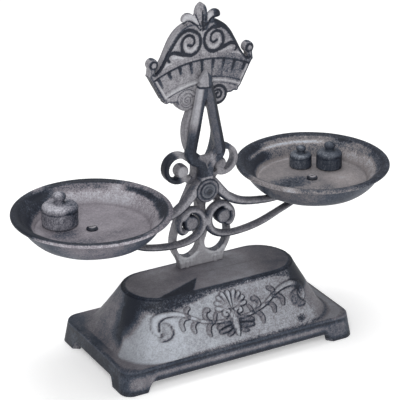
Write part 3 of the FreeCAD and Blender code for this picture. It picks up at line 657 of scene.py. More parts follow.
def rounded(points, away, front, back, front_drop, back_drop):
    """Presses the front and back faces in towards the edges by the given drops."""
    middle = (front + back) / 2
    share = np.clip((middle - points[:, 1]) / (middle - front), -1.2, 1.2)
    drop = np.where(share > 0, front_drop(away), -back_drop(away))
    points[:, 1] += drop * np.abs(share)
    return points


def quarter_round(radius):
    """Edge profile: how far the face has dropped at each distance from the edge."""
    def drop(away):
        inside = np.clip(radius - away, 0, radius)
        return radius - np.sqrt(np.maximum(radius * radius - inside * inside, 0))
    return drop


# ---------------------------------------------------------------- post

POST_LOW, POST_HIGH = node_box("post_casting")
POST_BACK = POST_HIGH[1]
POST_FRONT = POST_BACK - 9
POST_VOXEL = 0.62
HUB_Z = 130.1
CROWN_Z = 205
CURL = (42.8, 241.0)                # centre of the curled end of the arch, right half
CURL_RADIUS = 5
FAN_ORIGIN_Z = 145.6
FAN_TOP = 95.4                      # radii and half angle of the band, in degrees, from that origin
FAN_LOW = 73.2
FAN_ANGLE = 28.4
FLUTE_STEP = 6.25                   # degrees between flutes


def spiral(centre, radii, angles, widths, height, samples):
    """A raised spiral; radii, angles in degrees and half widths run from start to end."""
    share = np.linspace(0, 1, samples)
    radius = between(*radii, share)
    angle = np.radians(between(*angles, share))
    x = centre[0] + radius * np.cos(angle)
    y = centre[1] + radius * np.sin(angle)
    return np.stack([x, y, between(*widths, share)], axis=1), height


def crown_strands():
    """Right half of the dark strands on the crown: arch edge and volute, tail, lower volute."""
    arch_and_volute = stroke([
        (43.6, 233.4, 0.8), (41.0, 233.2, 1.1), (35.4, 238.9, 1.3), (28.8, 250.2, 1.3), (21.2, 260.6, 1.4),
        (15.0, 264.3, 1.4), (9.5, 263.9, 1.4), (3.6, 260.2, 1.3), (1.6, 253.6, 1.2), (3.9, 247.2, 1.3),
        (9.8, 243.9, 1.4), (16.2, 246.2, 1.4), (18.6, 252.0, 1.3), (17.0, 258.0, 1.2), (12.2, 260.4, 1.1),
        (8.0, 258.0, 1.0), (7.2, 253.8, 0.9), (9.6, 251.4, 0.9), (12.6, 252.6, 1.1)], 0.85, 120)
    tail = stroke([(12.0, 244.2, 1.2), (18.5, 246.0, 1.6), (24.5, 248.2, 1.5), (29.0, 247.4, 1.3),
                   (31.0, 244.4, 1.3), (29.4, 241.8, 1.0)], 0.85, 30)
    low_volute = [(13.8 + 7.4 * math.cos(turn), 207.1 + 7.4 * math.sin(turn), 1.3)
                  for turn in np.radians(range(150, -150, -25))]
    return [arch_and_volute, tail, stroke(low_volute, 0.7, 50),
            spiral((13.8, 207.1), (4.4, 1.4), (150, -260), (0.9, 1.2), 0.6, 30)]


def crown_leaves():
    """Right half of the light raised parts: leaf under the tail, comma in the volute, side leaf."""
    return [
        stroke([(17.0, 242.6, 0.7), (21.5, 244.2, 1.5), (26.5, 244.4, 1.2)], 0.55, 14),
        stroke([(25.6, 239.6, 0.5), (31.0, 239.6, 1.0), (36.5, 235.6, 0.7)], 0.45, 14),
        stroke([(5.0, 251.0, 0.9), (9.2, 247.6, 1.5), (14.2, 249.4, 1.3), (15.4, 254.4, 0.9)], 0.5, 24),
        stroke([(1.3, 263.0, 0.8), (3.8, 269.0, 1.5), (8.6, 273.8, 2.2), (13.2, 274.4, 2.4),
                (15.4, 272.6, 1.6)], 0.8, 22),
    ]


def crown_lines():
    """Right half of the carved dark lines: under the side leaf and beside the finial."""
    return [
        stroke([(1.6, 262.6, 0.8), (5.6, 268.0, 0.8), (10.6, 271.0, 0.7), (14.6, 270.8, 0.5)], -0.6, 20),
        stroke([(0.9, 262.6, 0.7), (2.8, 269.0, 0.7), (5.2, 275.4, 0.6)], -0.5, 16),
    ]


def centre_lines():
    """Carved line down the middle of the finial, widest at its lower end."""
    return [stroke([(0.5, 262.0, 0.8), (0.7, 268.0, 1.2), (0.9, 274.0, 1.0), (0.7, 278.6, 0.4)], -0.7, 16)]


def band_pattern(x, z):
    """Relief and paint of the fan band from polar coordinates: grooves, rims and end bars."""
    radius = np.hypot(x, z - FAN_ORIGIN_Z)
    angle = np.degrees(np.arctan2(x, z - FAN_ORIGIN_Z))
    off_middle = np.abs(angle)
    inside = ((radius > FAN_LOW - 0.5) & (radius < FAN_TOP + 2.4) & (off_middle < FAN_ANGLE + 0.6)
              & (z > CROWN_Z))
    down = np.clip((FAN_TOP - 3.4 - radius) / 16.5, 0, 1)
    number = np.clip(np.round(angle / FLUTE_STEP), -4, 4)
    sideways = np.radians(np.abs(angle - number * FLUTE_STEP)) * radius
    reach = 0.72 + 0.28 * np.cos(number * 0.9 - 0.9)
    half_width = 1.75 - 1.2 * down
    flute = smooth(half_width * 1.5, half_width * 0.6, sideways) * smooth(reach, reach - 0.12, down)
    flute = flute * (radius < FAN_TOP - 2.2)
    top_line = bell(radius, FAN_TOP - 2.8, 1.25) * (off_middle < 27.6)
    low_bar = bell(radius, FAN_LOW + 2.0, 1.1) * (off_middle < 27)
    low_line = bell(radius, FAN_LOW + 4.6, 0.9) * (off_middle < 26)
    end_away = np.radians(FAN_ANGLE - off_middle) * radius
    end_line = bell(end_away, 1.3, 1.0)
    end_bar = bell(end_away, 3.2, 0.9) * (radius < FAN_TOP - 3.5)
    bottom_line = bell(radius, FAN_LOW - 0.3, 0.8) * (off_middle < 27)
    height = 1.1 * low_bar + 0.8 * end_bar - 0.75 * flute - 0.5 * top_line - 0.35 * low_line - 0.4 * end_line
    dark = np.maximum.reduce([0.95 * flute * (1 - 0.4 * down), top_line, 0.9 * end_line,
                              (0.55 + 0.35 * (angle > 4)) * low_line, 0.9 * bottom_line])
    light = np.maximum(low_bar, end_bar)
    return inside, height, dark, light, angle


def post_paint(points, normal, away, dark, light, in_band, angle):
    """Patina and painted light of the post: greys on the front, navy in the recesses, navy side walls with a
    painted highlight on those that face left, and painted shade round the hub.
    """
    x, y, z = points.T
    front = normal[:, 1] < -0.5
    left = x < 0
    crown = z > CROWN_Z
    wear_and_shade = np.full(len(points), 0.40)
    wear_and_shade = wear_and_shade - 0.10 * smooth(95, 75, z)
    wear_and_shade = np.where(crown, 0.36 + 0.12 * smooth(-5, 25, x), wear_and_shade)
    finial = crown & (z > 262)
    finial_wear = 0.06 + 0.34 * window(x, 0.5, 3.4, 4.5, 6.5) + 0.44 * smooth(7, 14, x)
    wear_and_shade = np.where(finial, wear_and_shade + finial_wear, wear_and_shade)
    wear_and_shade = np.where(in_band, 0.43 + 0.14 * smooth(-2, 16, angle), wear_and_shade)
    from_curl = np.hypot(np.abs(x) - CURL[0], z - CURL[1])
    wear_and_shade = wear_and_shade + 0.5 * bell(from_curl, 2.7, 0.7) * crown
    edge_shadow = smooth(2.6, 1.2, away) * smooth(0.2, 1.0, away)
    wear_and_shade = np.where(front, wear_and_shade + 0.30 * edge_shadow * crown, wear_and_shade)
    ring_x = np.abs(x) - 20.5
    ring_z = z - 149.7
    from_ring = np.hypot(ring_x, ring_z)
    ring = (from_ring > 7.6) & (from_ring < 14.5) & (np.abs(x) > 9) & (z < 163) & (z > 134)
    around = np.degrees(np.arctan2(ring_z, ring_x))
    navy_ring = window(around, -115, -80, 60, 95)
    ball = np.hypot(np.abs(x) - 17.3, z - 146.1) / 5.6
    wear_and_shade = np.where(ball < 1.02, 0.30 + 0.4 * smooth(0.75, 1.0, ball) + 0.2 * (~left), wear_and_shade)
    # Painted shade round the hub, where the beam stands in front of the post.
    wear_and_shade = wear_and_shade + 0.18 * smooth(24, 12, np.hypot(x, z - HUB_Z))
    by_screws = front & (z > 66) & (z < 74) & (np.abs(x) < 22)
    wear_and_shade = wear_and_shade - 0.22 * smooth(3.2, 1.4, away) * by_screws
    side = ~front
    # Side walls: navy, with a painted highlight on walls that face left towards the light, except low on the
    # right half; darker near the back edge.
    faces_left = normal[:, 0] < -0.35
    band_end = crown & (np.abs(x) > 33) & (z < 232)
    side_wear_and_highlight = np.where(crown, np.where(faces_left, 0.42, 0.80), np.where(faces_left, 0.46, 0.66))
    side_wear_and_highlight = np.where(band_end, 0.90, side_wear_and_highlight)
    side_wear_and_highlight = np.where(normal[:, 1] > 0.6, 0.62, side_wear_and_highlight)
    side_wear_and_highlight = side_wear_and_highlight + 0.22 * smooth(3.0, 0.6, POST_BACK - y) * (normal[:, 1] < 0.6)
    side_wear_and_highlight = np.where(~crown & ~left & faces_left, 0.64, side_wear_and_highlight)
    wear_and_shade = np.where(side, side_wear_and_highlight, wear_and_shade)
    seen = normal[:, 1] < 0.5
    wear_and_shade = np.where(ring & left & seen, 0.36 + 0.54 * navy_ring, wear_and_shade)
    wear_and_shade = np.where(ring & ~left & seen, 0.42 + 0.30 * smooth(40, 80, around) + 0.16 * side, wear_and_shade)
    wear_and_shade = np.maximum(wear_and_shade, dark * 0.95)
    return wear_and_shade - 0.34 * light * (wear_and_shade < 0.7)


def make_post():
    item = recast("post", "post_casting", POST_VOXEL, 3)
    points = points_of(item)
    away = silhouette_distance(points, POST_FRONT + 3, POST_BACK - 3)
    crown = points[:, 2] > CROWN_Z
    normal = normals_of(item)
    carved_area = crown & (points[:, 1] < POST_FRONT + 1.3) & (away > 0.7)
    curl = np.hypot(np.abs(points[:, 0]) - CURL[0], points[:, 2] - CURL[1]) < CURL_RADIUS
    points[carved_area & ~curl, 1] = POST_FRONT
    points[:, 1] = np.clip(points[:, 1], POST_FRONT - 0.3, POST_BACK)
    points = rounded(points, away, POST_FRONT, POST_BACK, quarter_round(1.5), quarter_round(1.0))
    front = (normal[:, 1] < -0.2) & (points[:, 1] < POST_FRONT + 2.2)
    flat = points[:, [0, 2]]
    raised, foot = relief(flat, both_sides(crown_strands()), 1.2)
    soft, _ = relief(flat, both_sides(crown_leaves()), 1.2)
    cut, _ = relief(flat, both_sides(crown_lines()) + centre_lines(), 0.6)
    inside, band_height, band_dark, band_light, angle = band_pattern(flat[:, 0], flat[:, 1])
    above_band = ~inside | (raised > 0)
    height = np.where(above_band, np.maximum(raised, soft) + cut, band_height)
    finial = crown & (points[:, 2] > 270) & (np.abs(points[:, 0]) < 5.2)
    height = height + 0.7 * np.clip(1 - (points[:, 0] / 5.2) ** 2, 0, 1) * finial
    points[front, 1] -= height[front]
    points[front, 1] = np.maximum(points[front, 1], POST_FRONT - 1.0)
    points = points + normal * wobble(points, 0.12, 7)[:, None]
    points[:, 2] = np.clip(points[:, 2], POST_LOW[2], POST_HIGH[2])
    set_points(item, points)
    shade_smooth(item)
    low_left = (flat[:, 1] < 219) & (flat[:, 0] < 0) & ~inside
    strand_dark = smooth(0.1, 0.4, raised) * np.where(low_left, 0.25, 1.0)
    carved_dark = smooth(-0.1, -0.4, cut)
    outline_dark = foot * above_band * np.where(low_left, 0.72, 0.6)
    dark = np.maximum.reduce([strand_dark * above_band, carved_dark * above_band, outline_dark,
                              band_dark * inside * (raised <= 0)]) * front
    light = np.maximum(soft / 0.8 * above_band, band_light * inside) * front
    paint_normal = normals_of(item)
    paint_normal[:, 1] = np.where(front & (normal[:, 1] < -0.6), -1.0, paint_normal[:, 1])
    wear_and_shade = post_paint(points, paint_normal, away, dark, light, inside, angle)
    speckle = np.where(crown & front, 0.58, 0.34)
    iron = patina_material("post_iron_paint", (186, 187, 192), (158, 157, 162), (118, 116, 122))
    finish_piece(item, "post_casting", "stand", iron, wear_and_shade, speckle)


# ---------------------------------------------------------------- beam

BEAM_HALF = 3.8
BEAM_VOXEL = 0.6
ARM = 101.4
FORK_Z = HUB_Z + 30
BALL_X = 14.6
BALL_Z = HUB_Z - 25.6
BALL_RADIUS = 6.4


def beam_drop(points):
    """Edge profile of the beam: half-round arms, bevelled pointer legs and flatter pads."""
    half_round = quarter_round(2.9)
    soft_edge = quarter_round(1.0)
    x, _, z = points.T
    leg = smooth(FORK_Z, FORK_Z + 6, z)
    pad = smooth(ARM - 16, ARM - 11, np.abs(x))
    hub = smooth(11.5, 9, np.hypot(x, z - HUB_Z))
    plain = np.maximum(pad, hub)

    def drop(away):
        bevel = 0.62 * np.clip(3.6 - away, 0, 3.6)
        profile = half_round(away) * (1 - leg) + bevel * leg
        return profile * (1 - plain) + soft_edge(away) * plain
    return drop


def pointer_tip():
    """Three small lobes at the tip of the pointer."""
    return [
        stroke([(0, 219.0, 1.0), (0.2, 225.0, 1.7), (0.2, 230.6, 0.8)], 0.9, 12),
        stroke([(-1.6, 219.0, 0.8), (-3.4, 223.4, 1.5), (-4.2, 226.4, 0.9)], 0.7, 12),
        stroke([(1.6, 219.0, 0.8), (3.4, 223.4, 1.5), (4.2, 226.4, 0.9)], 0.7, 12),
    ]


def beam_paint(points, normal, away):
    """Patina and painted light of the beam: a painted highlight on top and painted shade underneath, painted
    shade on the right facets of the pointer legs, a navy lower left leg, and dark edges on the arms that are
    painted shade.
    """
    x, y, z = points.T
    wear_and_shade = np.full(len(points), 0.42)
    # Painted light: faces that point up are lighter as a painted highlight, faces that point down darker as
    # painted shade.
    wear_and_shade = wear_and_shade - 0.16 * smooth(0.2, 0.8, normal[:, 2]) + 0.26 * smooth(-0.1, -0.8, normal[:, 2])
    leg = z > FORK_Z
    up_leg = np.clip((z - HUB_Z - 34.4) / 55.6, 0, 1.1)
    centre = 13.1 - 10.2 * up_leg
    # Pointer legs: the right facet of each leg is darkened as painted shade; the upper left leg is light grey
    # paint that also stands in for the highlight on its lit left facet, and navy lower down.
    shaded_right_facet = smooth(-0.8, 0.9, x - np.sign(x) * centre)
    left_leg = 0.10 + 0.68 * smooth(HUB_Z + 62, HUB_Z + 46, z) + 0.66 * shaded_right_facet
    right_leg = 0.60 + 0.36 * shaded_right_facet
    wear_and_shade = np.where(leg, np.where(x < 0, np.minimum(left_leg, 0.95), right_leg), wear_and_shade)
    elbow = (z > HUB_Z + 12) & ~leg
    web = (y > 1.4 - BEAM_HALF) & (np.abs(x) < 6) & (z > HUB_Z + 15) & (z < HUB_Z + 36)
    # Upward faces of the elbow are lighter: a painted highlight.
    elbow_wear_and_highlight = np.where(x < 0, 0.84, 0.72) - 0.36 * smooth(0.10, 0.60, normal[:, 2])
    wear_and_shade = np.where(elbow, elbow_wear_and_highlight, wear_and_shade)
    wear_and_shade = np.where(web, 0.34, wear_and_shade)
    inner_right = blob(np.column_stack([x, z]), (5.5, HUB_Z + 24), (3.5, 7), 0.8)
    wear_and_shade = wear_and_shade - 0.4 * inner_right * elbow
    hub = np.hypot(x, z - HUB_Z) / 10
    hub_wear = 0.50 + 0.45 * smooth(0.90, 0.98, hub) + 0.4 * bell(hub, 0.68, 0.08)
    wear_and_shade = np.where(hub < 1.05, hub_wear, wear_and_shade)
    ball = np.hypot(np.abs(x) - BALL_X, z - BALL_Z) / BALL_RADIUS
    wear_and_shade = np.where((ball < 1.05) & (y < 0), 0.56 + 0.24 * smooth(0.7, 1.0, ball), wear_and_shade)
    tip = z > 217.5
    wear_and_shade = np.where(tip, np.where(x < 0.4, 0.22, 0.74), wear_and_shade)
    wear_and_shade = np.where(np.abs(z - 218.2) < 0.9, 0.85, wear_and_shade)
    arm = (z < HUB_Z + 12) & (normal[:, 1] < 0.5) & (np.abs(x) < ARM - 16) & (hub > 1.05)
    # Arms: painted shade along their edges and a painted highlight along their middles, as on a lit round
    # bar.
    wear_and_shade = wear_and_shade + (0.26 * smooth(1.5, 0.4, away) - 0.16 * smooth(1.2, 2.2, away)) * arm
    wear_and_shade = np.where(normal[:, 1] > 0.5, np.maximum(wear_and_shade, 0.62), wear_and_shade)
    return wear_and_shade


def make_beam():
    item = recast("beam", "beam_casting", BEAM_VOXEL, 2)
    points = points_of(item)
    normal = normals_of(item)
    away = silhouette_distance(points, -1.3, 1.3)
    body = np.abs(points[:, 0]) < ARM - 13
    points[:, 1] = np.clip(points[:, 1], -5.4, BEAM_HALF)
    shaped = rounded(points.copy(), away, -BEAM_HALF, BEAM_HALF, beam_drop(points), quarter_round(1.6))
    ball = np.hypot(np.abs(points[:, 0]) - BALL_X, points[:, 2] - BALL_Z) / BALL_RADIUS
    keep = (ball < 1.05) & (points[:, 1] < 0)
    shaped[keep] = points[keep]
    points[body] = shaped[body]
    tube = smooth(HUB_Z - 6, HUB_Z - 11, points[:, 2]) * smooth(ARM - 32, ARM - 44, np.abs(points[:, 0]))
    points = points + normal * np.array([1, 0, 1]) * (0.65 * tube * (ball > 1.1))[:, None]
    dome = np.clip(1 - ball ** 2, 0, 1)
    on_ball = keep & (normal[:, 1] < -0.2)
    points[on_ball, 1] = -3.6 - 1.8 * np.sqrt(dome[on_ball])
    front = normal[:, 1] < -0.2
    lobes, _ = relief(points[:, [0, 2]], pointer_tip(), 0.5)
    points[front, 1] -= lobes[front]
    hub = np.hypot(points[:, 0], points[:, 2] - HUB_Z)
    ring = bell(hub, 8.4, 0.9)
    on_hub = front & (hub < 10)
    points[on_hub, 1] -= 0.45 * ring[on_hub]
    rough = (np.abs(points[:, 0]) < ARM - 14) & (hub > 12)
    points = points + normal * (wobble(points, 0.10, 6) * rough)[:, None]
    set_points(item, points)
    shade_smooth(item)
    wear_and_shade = beam_paint(points, normals_of(item), away)
    speckle = np.where(points[:, 2] > FORK_Z, 0.34, 0.55)
    iron = patina_material("beam_iron_paint", (168, 168, 174), (128, 127, 133), (96, 95, 102))
    finish_piece(item, "beam_casting", "beam", iron, wear_and_shade, speckle)


# ---------------------------------------------------------------- pans

PAN_SEGMENTS = 240
PAN_FLOOR_RADIUS = 45
PAN_RIM_Z = 134.2
PAN_FLOOR_Z = 117.9
PAN_RADIUS = 63.5
PAN_NECK = PAN_RADIUS - 5.6
PAN_BORE = 2.55
PAN_BOSS_RADIUS = 20
PAN_BOSS = 1.7
LIP = 3.4


def arc_points(start, end, bulge, count):
    """Points on a shallow curve from start to end, standing out sideways by bulge in the middle."""
    start, end = np.array(start), np.array(end)
    along = end - start
    out = np.array([along[1], -along[0]]) / np.linalg.norm(along)
    share = np.linspace(0, 1, count)[1:]
    return [tuple(start + along * t + out * bulge * 4 * t * (1 - t)) for t in share]


def pan_profile(seat_z):
    """Section of a pan from the bore under the floor, out and over the lip, back to the bore."""
    profile = [(PAN_BORE, seat_z)]
    profile += [(PAN_BORE + (PAN_BOSS_RADIUS - PAN_BORE) * t, seat_z) for t in (0.5, 0.97, 1.0)]
    profile += [(PAN_BOSS_RADIUS, seat_z + PAN_BOSS * t) for t in (0.15, 1.0)]
    floor_under = PAN_FLOOR_RADIUS - 0.5
    for share in (0.3, 0.65, 1.0):
        profile.append((between(PAN_BOSS_RADIUS, floor_under, share), seat_z + PAN_BOSS))
    outer_foot = (floor_under, seat_z + PAN_BOSS)
    outer_top = (PAN_NECK, PAN_RIM_Z - LIP)
    profile += arc_points(outer_foot, outer_top, 1.9, 12)
    lip_middle = PAN_RIM_Z - LIP * 0.52
    for turn in np.radians(range(-75, 106, 18)):
        profile.append((PAN_RADIUS - 1.9 + 1.9 * math.cos(turn), lip_middle + LIP * 0.5 * math.sin(turn)))
    profile += [(PAN_RADIUS - 3.4, PAN_RIM_Z), (PAN_RADIUS - 4.6, PAN_RIM_Z - 0.25),
                (PAN_RADIUS - 5.8, PAN_RIM_Z - 0.9), (PAN_RADIUS - 6.9, PAN_RIM_Z - 1.9),
                (PAN_NECK - 2.6, PAN_RIM_Z - 3.6)]
    profile += arc_points((PAN_NECK - 2.6, PAN_RIM_Z - 3.6), (PAN_FLOOR_RADIUS, PAN_FLOOR_Z), 1.5, 16)
    profile += [(PAN_FLOOR_RADIUS * t, PAN_FLOOR_Z) for t in np.linspace(0.965, 0.2, 24)]
    profile += [(PAN_BORE + 1.0, PAN_FLOOR_Z), (PAN_BORE, PAN_FLOOR_Z)]
    return profile


def compass(angle, centre, spread, fade):
    """1 within spread degrees of centre, fading to 0 over fade more degrees."""
    away = np.abs((angle - centre + 180) % 360 - 180)
    return smooth(spread + fade, spread, away)


def on_wall(angle, climb, *marks):
    """Sum of marks on a pan's wall: (amount, centre, spread, fade, low, high) with climbs low and high."""
    return sum(amount * compass(angle, centre, spread, fade) * smooth(low, high, climb)
               for amount, centre, spread, fade, low, high in marks)


def pan_zones(points, centre, normal):
    offset = points[:, :2] - centre[:2]
    radius = np.hypot(*offset.T)
    angle = facing_of(offset)
    inner = (normal[:, 2] > 0.05) & (radius < PAN_NECK - 1.2)
    lip = (points[:, 2] > PAN_RIM_Z - LIP * 1.15) & ~inner
    climb = np.clip((points[:, 2] - PAN_FLOOR_Z) / (PAN_RIM_Z - 3.6 - PAN_FLOOR_Z), 0, 1) * inner
    return offset, radius, angle, inner, lip, climb


def rim_bands(points, radius):
    """Inner slope, flat top and outer face of a pan's rim."""
    outer_face = smooth(PAN_RADIUS - 1.7, PAN_RADIUS - 1.0, radius)
    outer_face = outer_face * smooth(PAN_RIM_Z - 0.2, PAN_RIM_Z - 0.9, points[:, 2])
    inner_slope = smooth(PAN_RADIUS - 3.2, PAN_RADIUS - 4.4, radius)
    return inner_slope, (1 - inner_slope) * (1 - outer_face), outer_face


def left_pan_paint(points, centre, normal):
    """Navy left wall and upper rim, light back wall, mauve floor, a dark line along the front rim, a painted
    highlight on the front of the lip and painted shade underneath.
    """
    offset, radius, angle, inner, lip, climb = pan_zones(points, centre, normal)
    floor = 0.41 + stains(offset, (0.26, (-24, -22), (32, 17)), (0.22, (-22, 2), (22, 16)),
                          (0.10, (12, -14), (22, 12)))
    wall = 0.20 + 0.34 * compass(angle, 240, 50, 30) + 0.14 * compass(angle, 330, 40, 20)
    wall = wall + on_wall(angle, climb, (0.66, 144, 24, 30, 0.10, 0.60), (0.40, 186, 14, 30, 0.40, 0.95),
                          (0.34, 84, 28, 16, 0.66, 0.98), (0.56, 18, 12, 12, 0.86, 0.98),
                          (0.62, 340, 10, 14, 0.72, 0.98))
    blend = smooth(0.0, 0.35, climb)
    inner_slope, top, outer_face = rim_bands(points, radius)
    rim = 0.54 + 0.38 * compass(angle, 72, 24, 14) + 0.40 * compass(angle, 160, 34, 22)
    rim = rim - 0.10 * compass(angle, 116, 10, 10) * (1 - inner_slope)
    rim = rim + 0.40 * inner_slope * compass(angle, 250, 90, 24) + 0.36 * top * compass(angle, 234, 40, 22)
    # Painted highlight on the outer face of the lip at the front.
    rim = rim - 0.24 * outer_face * compass(angle, 244, 40, 14)
    # Outside: darker on faces that point down, as painted shade underneath.
    outside = 0.53 + 0.14 * smooth(-0.2, -0.9, normal[:, 2]) - 0.04 * compass(angle, 244, 26, 26)
    outside = outside + 0.16 * compass(angle, 318, 30, 30) + 0.14 * compass(angle, 180, 30, 30)
    return np.where(inner, floor * (1 - blend) + wall * blend, np.where(lip, rim, outside))


def right_pan_paint(points, centre, normal):
    """Navy left wall, dark back rim with a light streak under it that is a painted highlight, brown-grey
    floor, a mauve right wall, a painted highlight on the front of the lip and painted shade underneath.
    """
    offset, radius, angle, inner, lip, climb = pan_zones(points, centre, normal)
    floor = 0.46 + stains(offset, (0.34, (-22, 0), (32, 18)), (0.12, (-6, -22), (24, 12)),
                          (-0.16, (26, -12), (22, 20)))
    floor_edge = bell(radius, PAN_FLOOR_RADIUS, 1.2) * compass(angle, 110, 40, 20)
    wall = 0.43 + 0.12 * compass(angle, 85, 30, 24) - 0.12 * compass(angle, 348, 30, 16)
    wall = wall + on_wall(angle, climb, (0.50, 160, 40, 22, 0.15, 0.55), (0.26, 20, 14, 12, 0.50, 0.90),
                          (0.46, 328, 24, 14, 0.70, 0.97))
    # Painted highlight: a light streak on the back wall just under the rim.
    streak = bell(climb, 0.88, 0.08) * compass(angle, 92, 36, 14)
    blend = smooth(0.0, 0.35, climb)
    wear_and_shade = floor * (1 - blend) + wall * blend - 0.20 * floor_edge - 0.5 * streak
    inner_slope, top, outer_face = rim_bands(points, radius)
    rim = 0.84 + 0.06 * inner_slope - 0.42 * (1 - inner_slope) * compass(angle, 204, 16, 12)
    # Painted highlight on the top and outer face of the lip at the front.
    rim = rim - (0.16 * top + 0.30 * outer_face) * compass(angle, 246, 22, 16)
    # Outside: darker on faces that point down, as painted shade underneath.
    outside = 0.55 + 0.12 * smooth(-0.2, -0.9, normal[:, 2]) + 0.16 * compass(angle, 150, 30, 30)
    outside = outside + 0.14 * compass(angle, 300, 40, 30)
    return np.where(inner, wear_and_shade, np.where(lip, rim, outside))


def make_pan(name, node, painter, material):
    low, high = node_box(node)
    centre = (low + high) / 2 * PLAN
    item = turned(name, pan_profile(low[2]), PAN_SEGMENTS, centre, True)
    points = points_of(item)
    normal = normals_of(item)
    radius = np.hypot(points[:, 0] - centre[0], points[:, 1] - centre[1])
    above_floor = np.where(np.abs(points[:, 2] - PAN_FLOOR_Z) < 0.01, 0.0, 1.0)
    loose = smooth(24, 30, radius) * smooth(PAN_RADIUS - 0.2, PAN_RADIUS - 2, radius) * above_floor
    points = points + normal * (wobble(points, 0.22, 9) * loose)[:, None]
    set_points(item, points)
    wear_and_shade = painter(points, centre, normal)
    _, _, _, inner, lip, climb = pan_zones(points, centre, normal)
    wall_speckle = 0.30 + 0.45 * smooth(0.1, 0.6, climb)
    stained = smooth(0.46, 0.60, wear_and_shade) * (climb < 0.1) * 0.4
    speckle = np.where(inner, wall_speckle + stained, np.where(lip, 0.80, 0.32))
    finish_piece(item, node, "beam", material, wear_and_shade, speckle)


def make_pans():
    left = patina_material("left_pan_paint", (188, 188, 196), (150, 145, 152), (112, 108, 115))
    right = patina_material("right_pan_paint", (178, 184, 194), (146, 140, 141), (112, 109, 112))
    make_pan("left_pan", "pan_left", left_pan_paint, left)
    make_pan("right_pan", "pan_right", right_pan_paint, right)


# ---------------------------------------------------------------- weights

def weight_profile(radius, height, knob):
    """Section of a weight: body, rounded shoulder, short neck and a round knob."""
    profile = [(0.02 * radius, 0.0), (radius * 0.5, 0.0), (radius - 1.0, 0.0), (radius - 0.3, 0.3)]
    profile += [(radius, height * t) for t in np.linspace(0.05, 0.50, 12)]
    for turn in np.radians(range(10, 91, 10)):
        profile.append((radius * (0.66 + 0.34 * math.cos(turn)), height * (0.50 + 0.155 * math.sin(turn))))
    for width, level in ((1.0, 0.67), (0.78, 0.69), (0.72, 0.72)):
        profile.append((radius * knob * width, height * level))
    for turn in np.radians(range(-50, 81, 13)):
        width = radius * knob * (0.3 + 0.7 * math.cos(turn))
        profile.append((width, height * (0.865 + 0.125 * math.sin(turn))))
    profile += [(radius * knob * 0.2, height), (radius * 0.02, height)]
    return profile


def make_weight(name, node, body, knob, base_wear, colours):
    """A weight that is lighter at the front left and darker at the front right, with a wavy line at the
    shoulder.
    """
    low, high = node_box(node)
    centre = np.append(((low + high) / 2)[:2], low[2])
    radius = (high[0] - low[0]) / 2
    height = high[2] - low[2]
    item = turned(name, weight_profile(radius, height, knob), 120, centre, False)
    points = points_of(item)
    normal = normals_of(item)
    angle = facing_of(points[:, :2] - centre[:2])
    share = (points[:, 2] - centre[2]) / height
    line = 0.47 + 0.02 * np.sin(np.radians(angle) * 3) + 0.012 * np.sin(np.radians(angle) * 7)
    groove = bell(share, line, 0.022)
    dents = wobble(points, 0.30, 5) * smooth(0.03, 0.12, share) * smooth(0.98, 0.9, share)
    points = points + normal * (dents - 0.35 * groove)[:, None]
    points[:, :2] = np.clip(points[:, :2], low[:2], high[:2])
    points[:, 2] = np.maximum(points[:, 2], low[2] + 0.05)
    set_points(item, points)
    wear_and_shade = base_wear + 0.26 * compass(angle, 320, 30, 40) - 0.12 * compass(angle, 225, 50, 40)
    wear_and_shade = wear_and_shade - 0.14 * window(share, 0.50, 0.62, 0.66, 0.70) - 0.10 * smooth(0.9, 1.0, share)
    wear_and_shade = wear_and_shade + 0.35 * groove + 0.25 * bell(share, 0.70, 0.03)
    iron = patina_material(name + "_paint", *colours, grain=1.3)
    finish_piece(item, node, body, iron, wear_and_shade, 0.7)


def make_weights():
    pale = ((186, 186, 194), (140, 139, 148), (104, 104, 114))
    dark = ((128, 134, 144), (88, 93, 103), (62, 68, 79))
    make_weight("large_weight_knobbed", "weight_large", "large_weight", 0.36, 0.46, pale)
    make_weight("medium_weight_knobbed", "weight_medium", "medium_weight", 0.44, 0.62, dark)
    make_weight("small_weight_knobbed", "weight_small", "small_weight", 0.47, 0.52, dark)


# ---------------------------------------------------------------- fixings

def make_fixings():
    """The turned screws, washers and nuts keep their CAD shape and get their own worn paint."""
    worn = patina_material("fixing_paint", (170, 172, 180), (112, 114, 122), (84, 87, 96), 0.7, 0.5)
    floor_worn = patina_material("pan_screw_paint", (180, 178, 184), (132, 129, 134),
                                 (98, 96, 102), 0.7, 0.4)
    for node, item in NODES.items():
        if not any(word in node for word in ("screw", "washer", "nut", "spacer")):
            continue
        item.data.materials.clear()
        item.data.materials.append(floor_worn if node == "pan_screws" else worn)
        points = points_of(item)
        top = node_box(node)[1][2]
        from_axis = np.hypot(points[:, 0], points[:, 2] - HUB_Z)
        if node == "pivot_screw":
            wear_and_shade = 0.86 - 0.36 * smooth(2.2, 3.4, from_axis)
        elif node == "pan_screws":
            wear_and_shade = 0.30 + 0.62 * smooth(top - 0.1, top - 0.4, points[:, 2])
        elif node == "pivot_front_washer":
            wear_and_shade = 0.42 + 0.40 * smooth(5.8, 6.3, from_axis) + 0.40 * smooth(4.6, 4.0, from_axis)
        else:
            wear_and_shade = np.full(len(points), 0.62)
        set_value(item, "patina_and_shade", wear_and_shade)
        set_value(item, "speckle", np.full(len(points), 0.6))


# ---------------------------------------------------------------- set

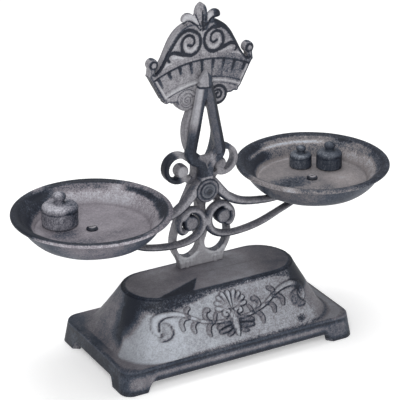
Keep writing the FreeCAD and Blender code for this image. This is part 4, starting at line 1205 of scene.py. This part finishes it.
def make_set():
    white = bpy.data.materials.new("floor_paper")
    white.use_nodes = True
    shader = white.node_tree.nodes["Principled BSDF"]
    shader.inputs["Base Color"].default_value = (0.95, 0.95, 0.95, 1)
    shader.inputs["Roughness"].default_value = 0.9
    shader.inputs["Emission Color"].default_value = (1, 1, 1, 1)
    shader.inputs["Emission Strength"].default_value = 0.34
    reach = 4000
    corners = [(-reach, -reach, 0), (reach, -reach, 0), (reach, reach, 0), (-reach, reach, 0)]
    floor = new_object("floor", corners, [(0, 1, 2, 3)])
    floor.data.materials.append(white)
    world = bpy.data.worlds.new("studio")
    world.use_nodes = True
    background = world.node_tree.nodes["Background"]
    background.inputs["Color"].default_value = (1, 1, 1, 1)
    background.inputs["Strength"].default_value = 0.44
    bpy.context.scene.world = world


def area_light(name, place, aim, size, power):
    data = bpy.data.lights.new(name, "AREA")
    data.shape = "RECTANGLE"
    data.size, data.size_y = size
    data.energy = power
    lamp = bpy.data.objects.new(name, data)
    bpy.context.scene.collection.objects.link(lamp)
    lamp.location = place
    lamp.rotation_euler = (Vector(aim) - Vector(place)).to_track_quat("-Z", "Y").to_euler()


def make_lights():
    """Three soft lights; places and sizes are in metres."""
    middle = (0, 0, 0.12)
    area_light("key", (-0.75, -1.15, 1.15), middle, (0.6, 0.6), 10.0)
    area_light("fill", (1.3, -0.9, 0.6), middle, (0.9, 0.9), 3.0)
    area_light("top", (0.1, 0.25, 1.5), middle, (0.9, 0.6), 9.0)


def make_camera():
    data = bpy.data.cameras.new("camera")
    data.sensor_width = 36
    data.lens = 170.6
    camera = bpy.data.objects.new("camera", data)
    bpy.context.scene.collection.objects.link(camera)
    azimuth, elevation, distance = math.radians(29.35), math.radians(24.17), 1.5094
    target = Vector((-9.2, -7.5, 125.5)) * MM
    back = Vector((-math.sin(azimuth) * math.cos(elevation), -math.cos(azimuth) * math.cos(elevation),
                   math.sin(elevation)))
    camera.location = target + back * distance
    camera.rotation_euler = (-back).to_track_quat("-Z", "Y").to_euler()
    bpy.context.scene.camera = camera


make_base()
make_post()
make_beam()
make_pans()
make_weights()
make_fixings()
make_set()
make_lights()
make_camera()
bpy.context.scene.view_settings.view_transform = "Standard"
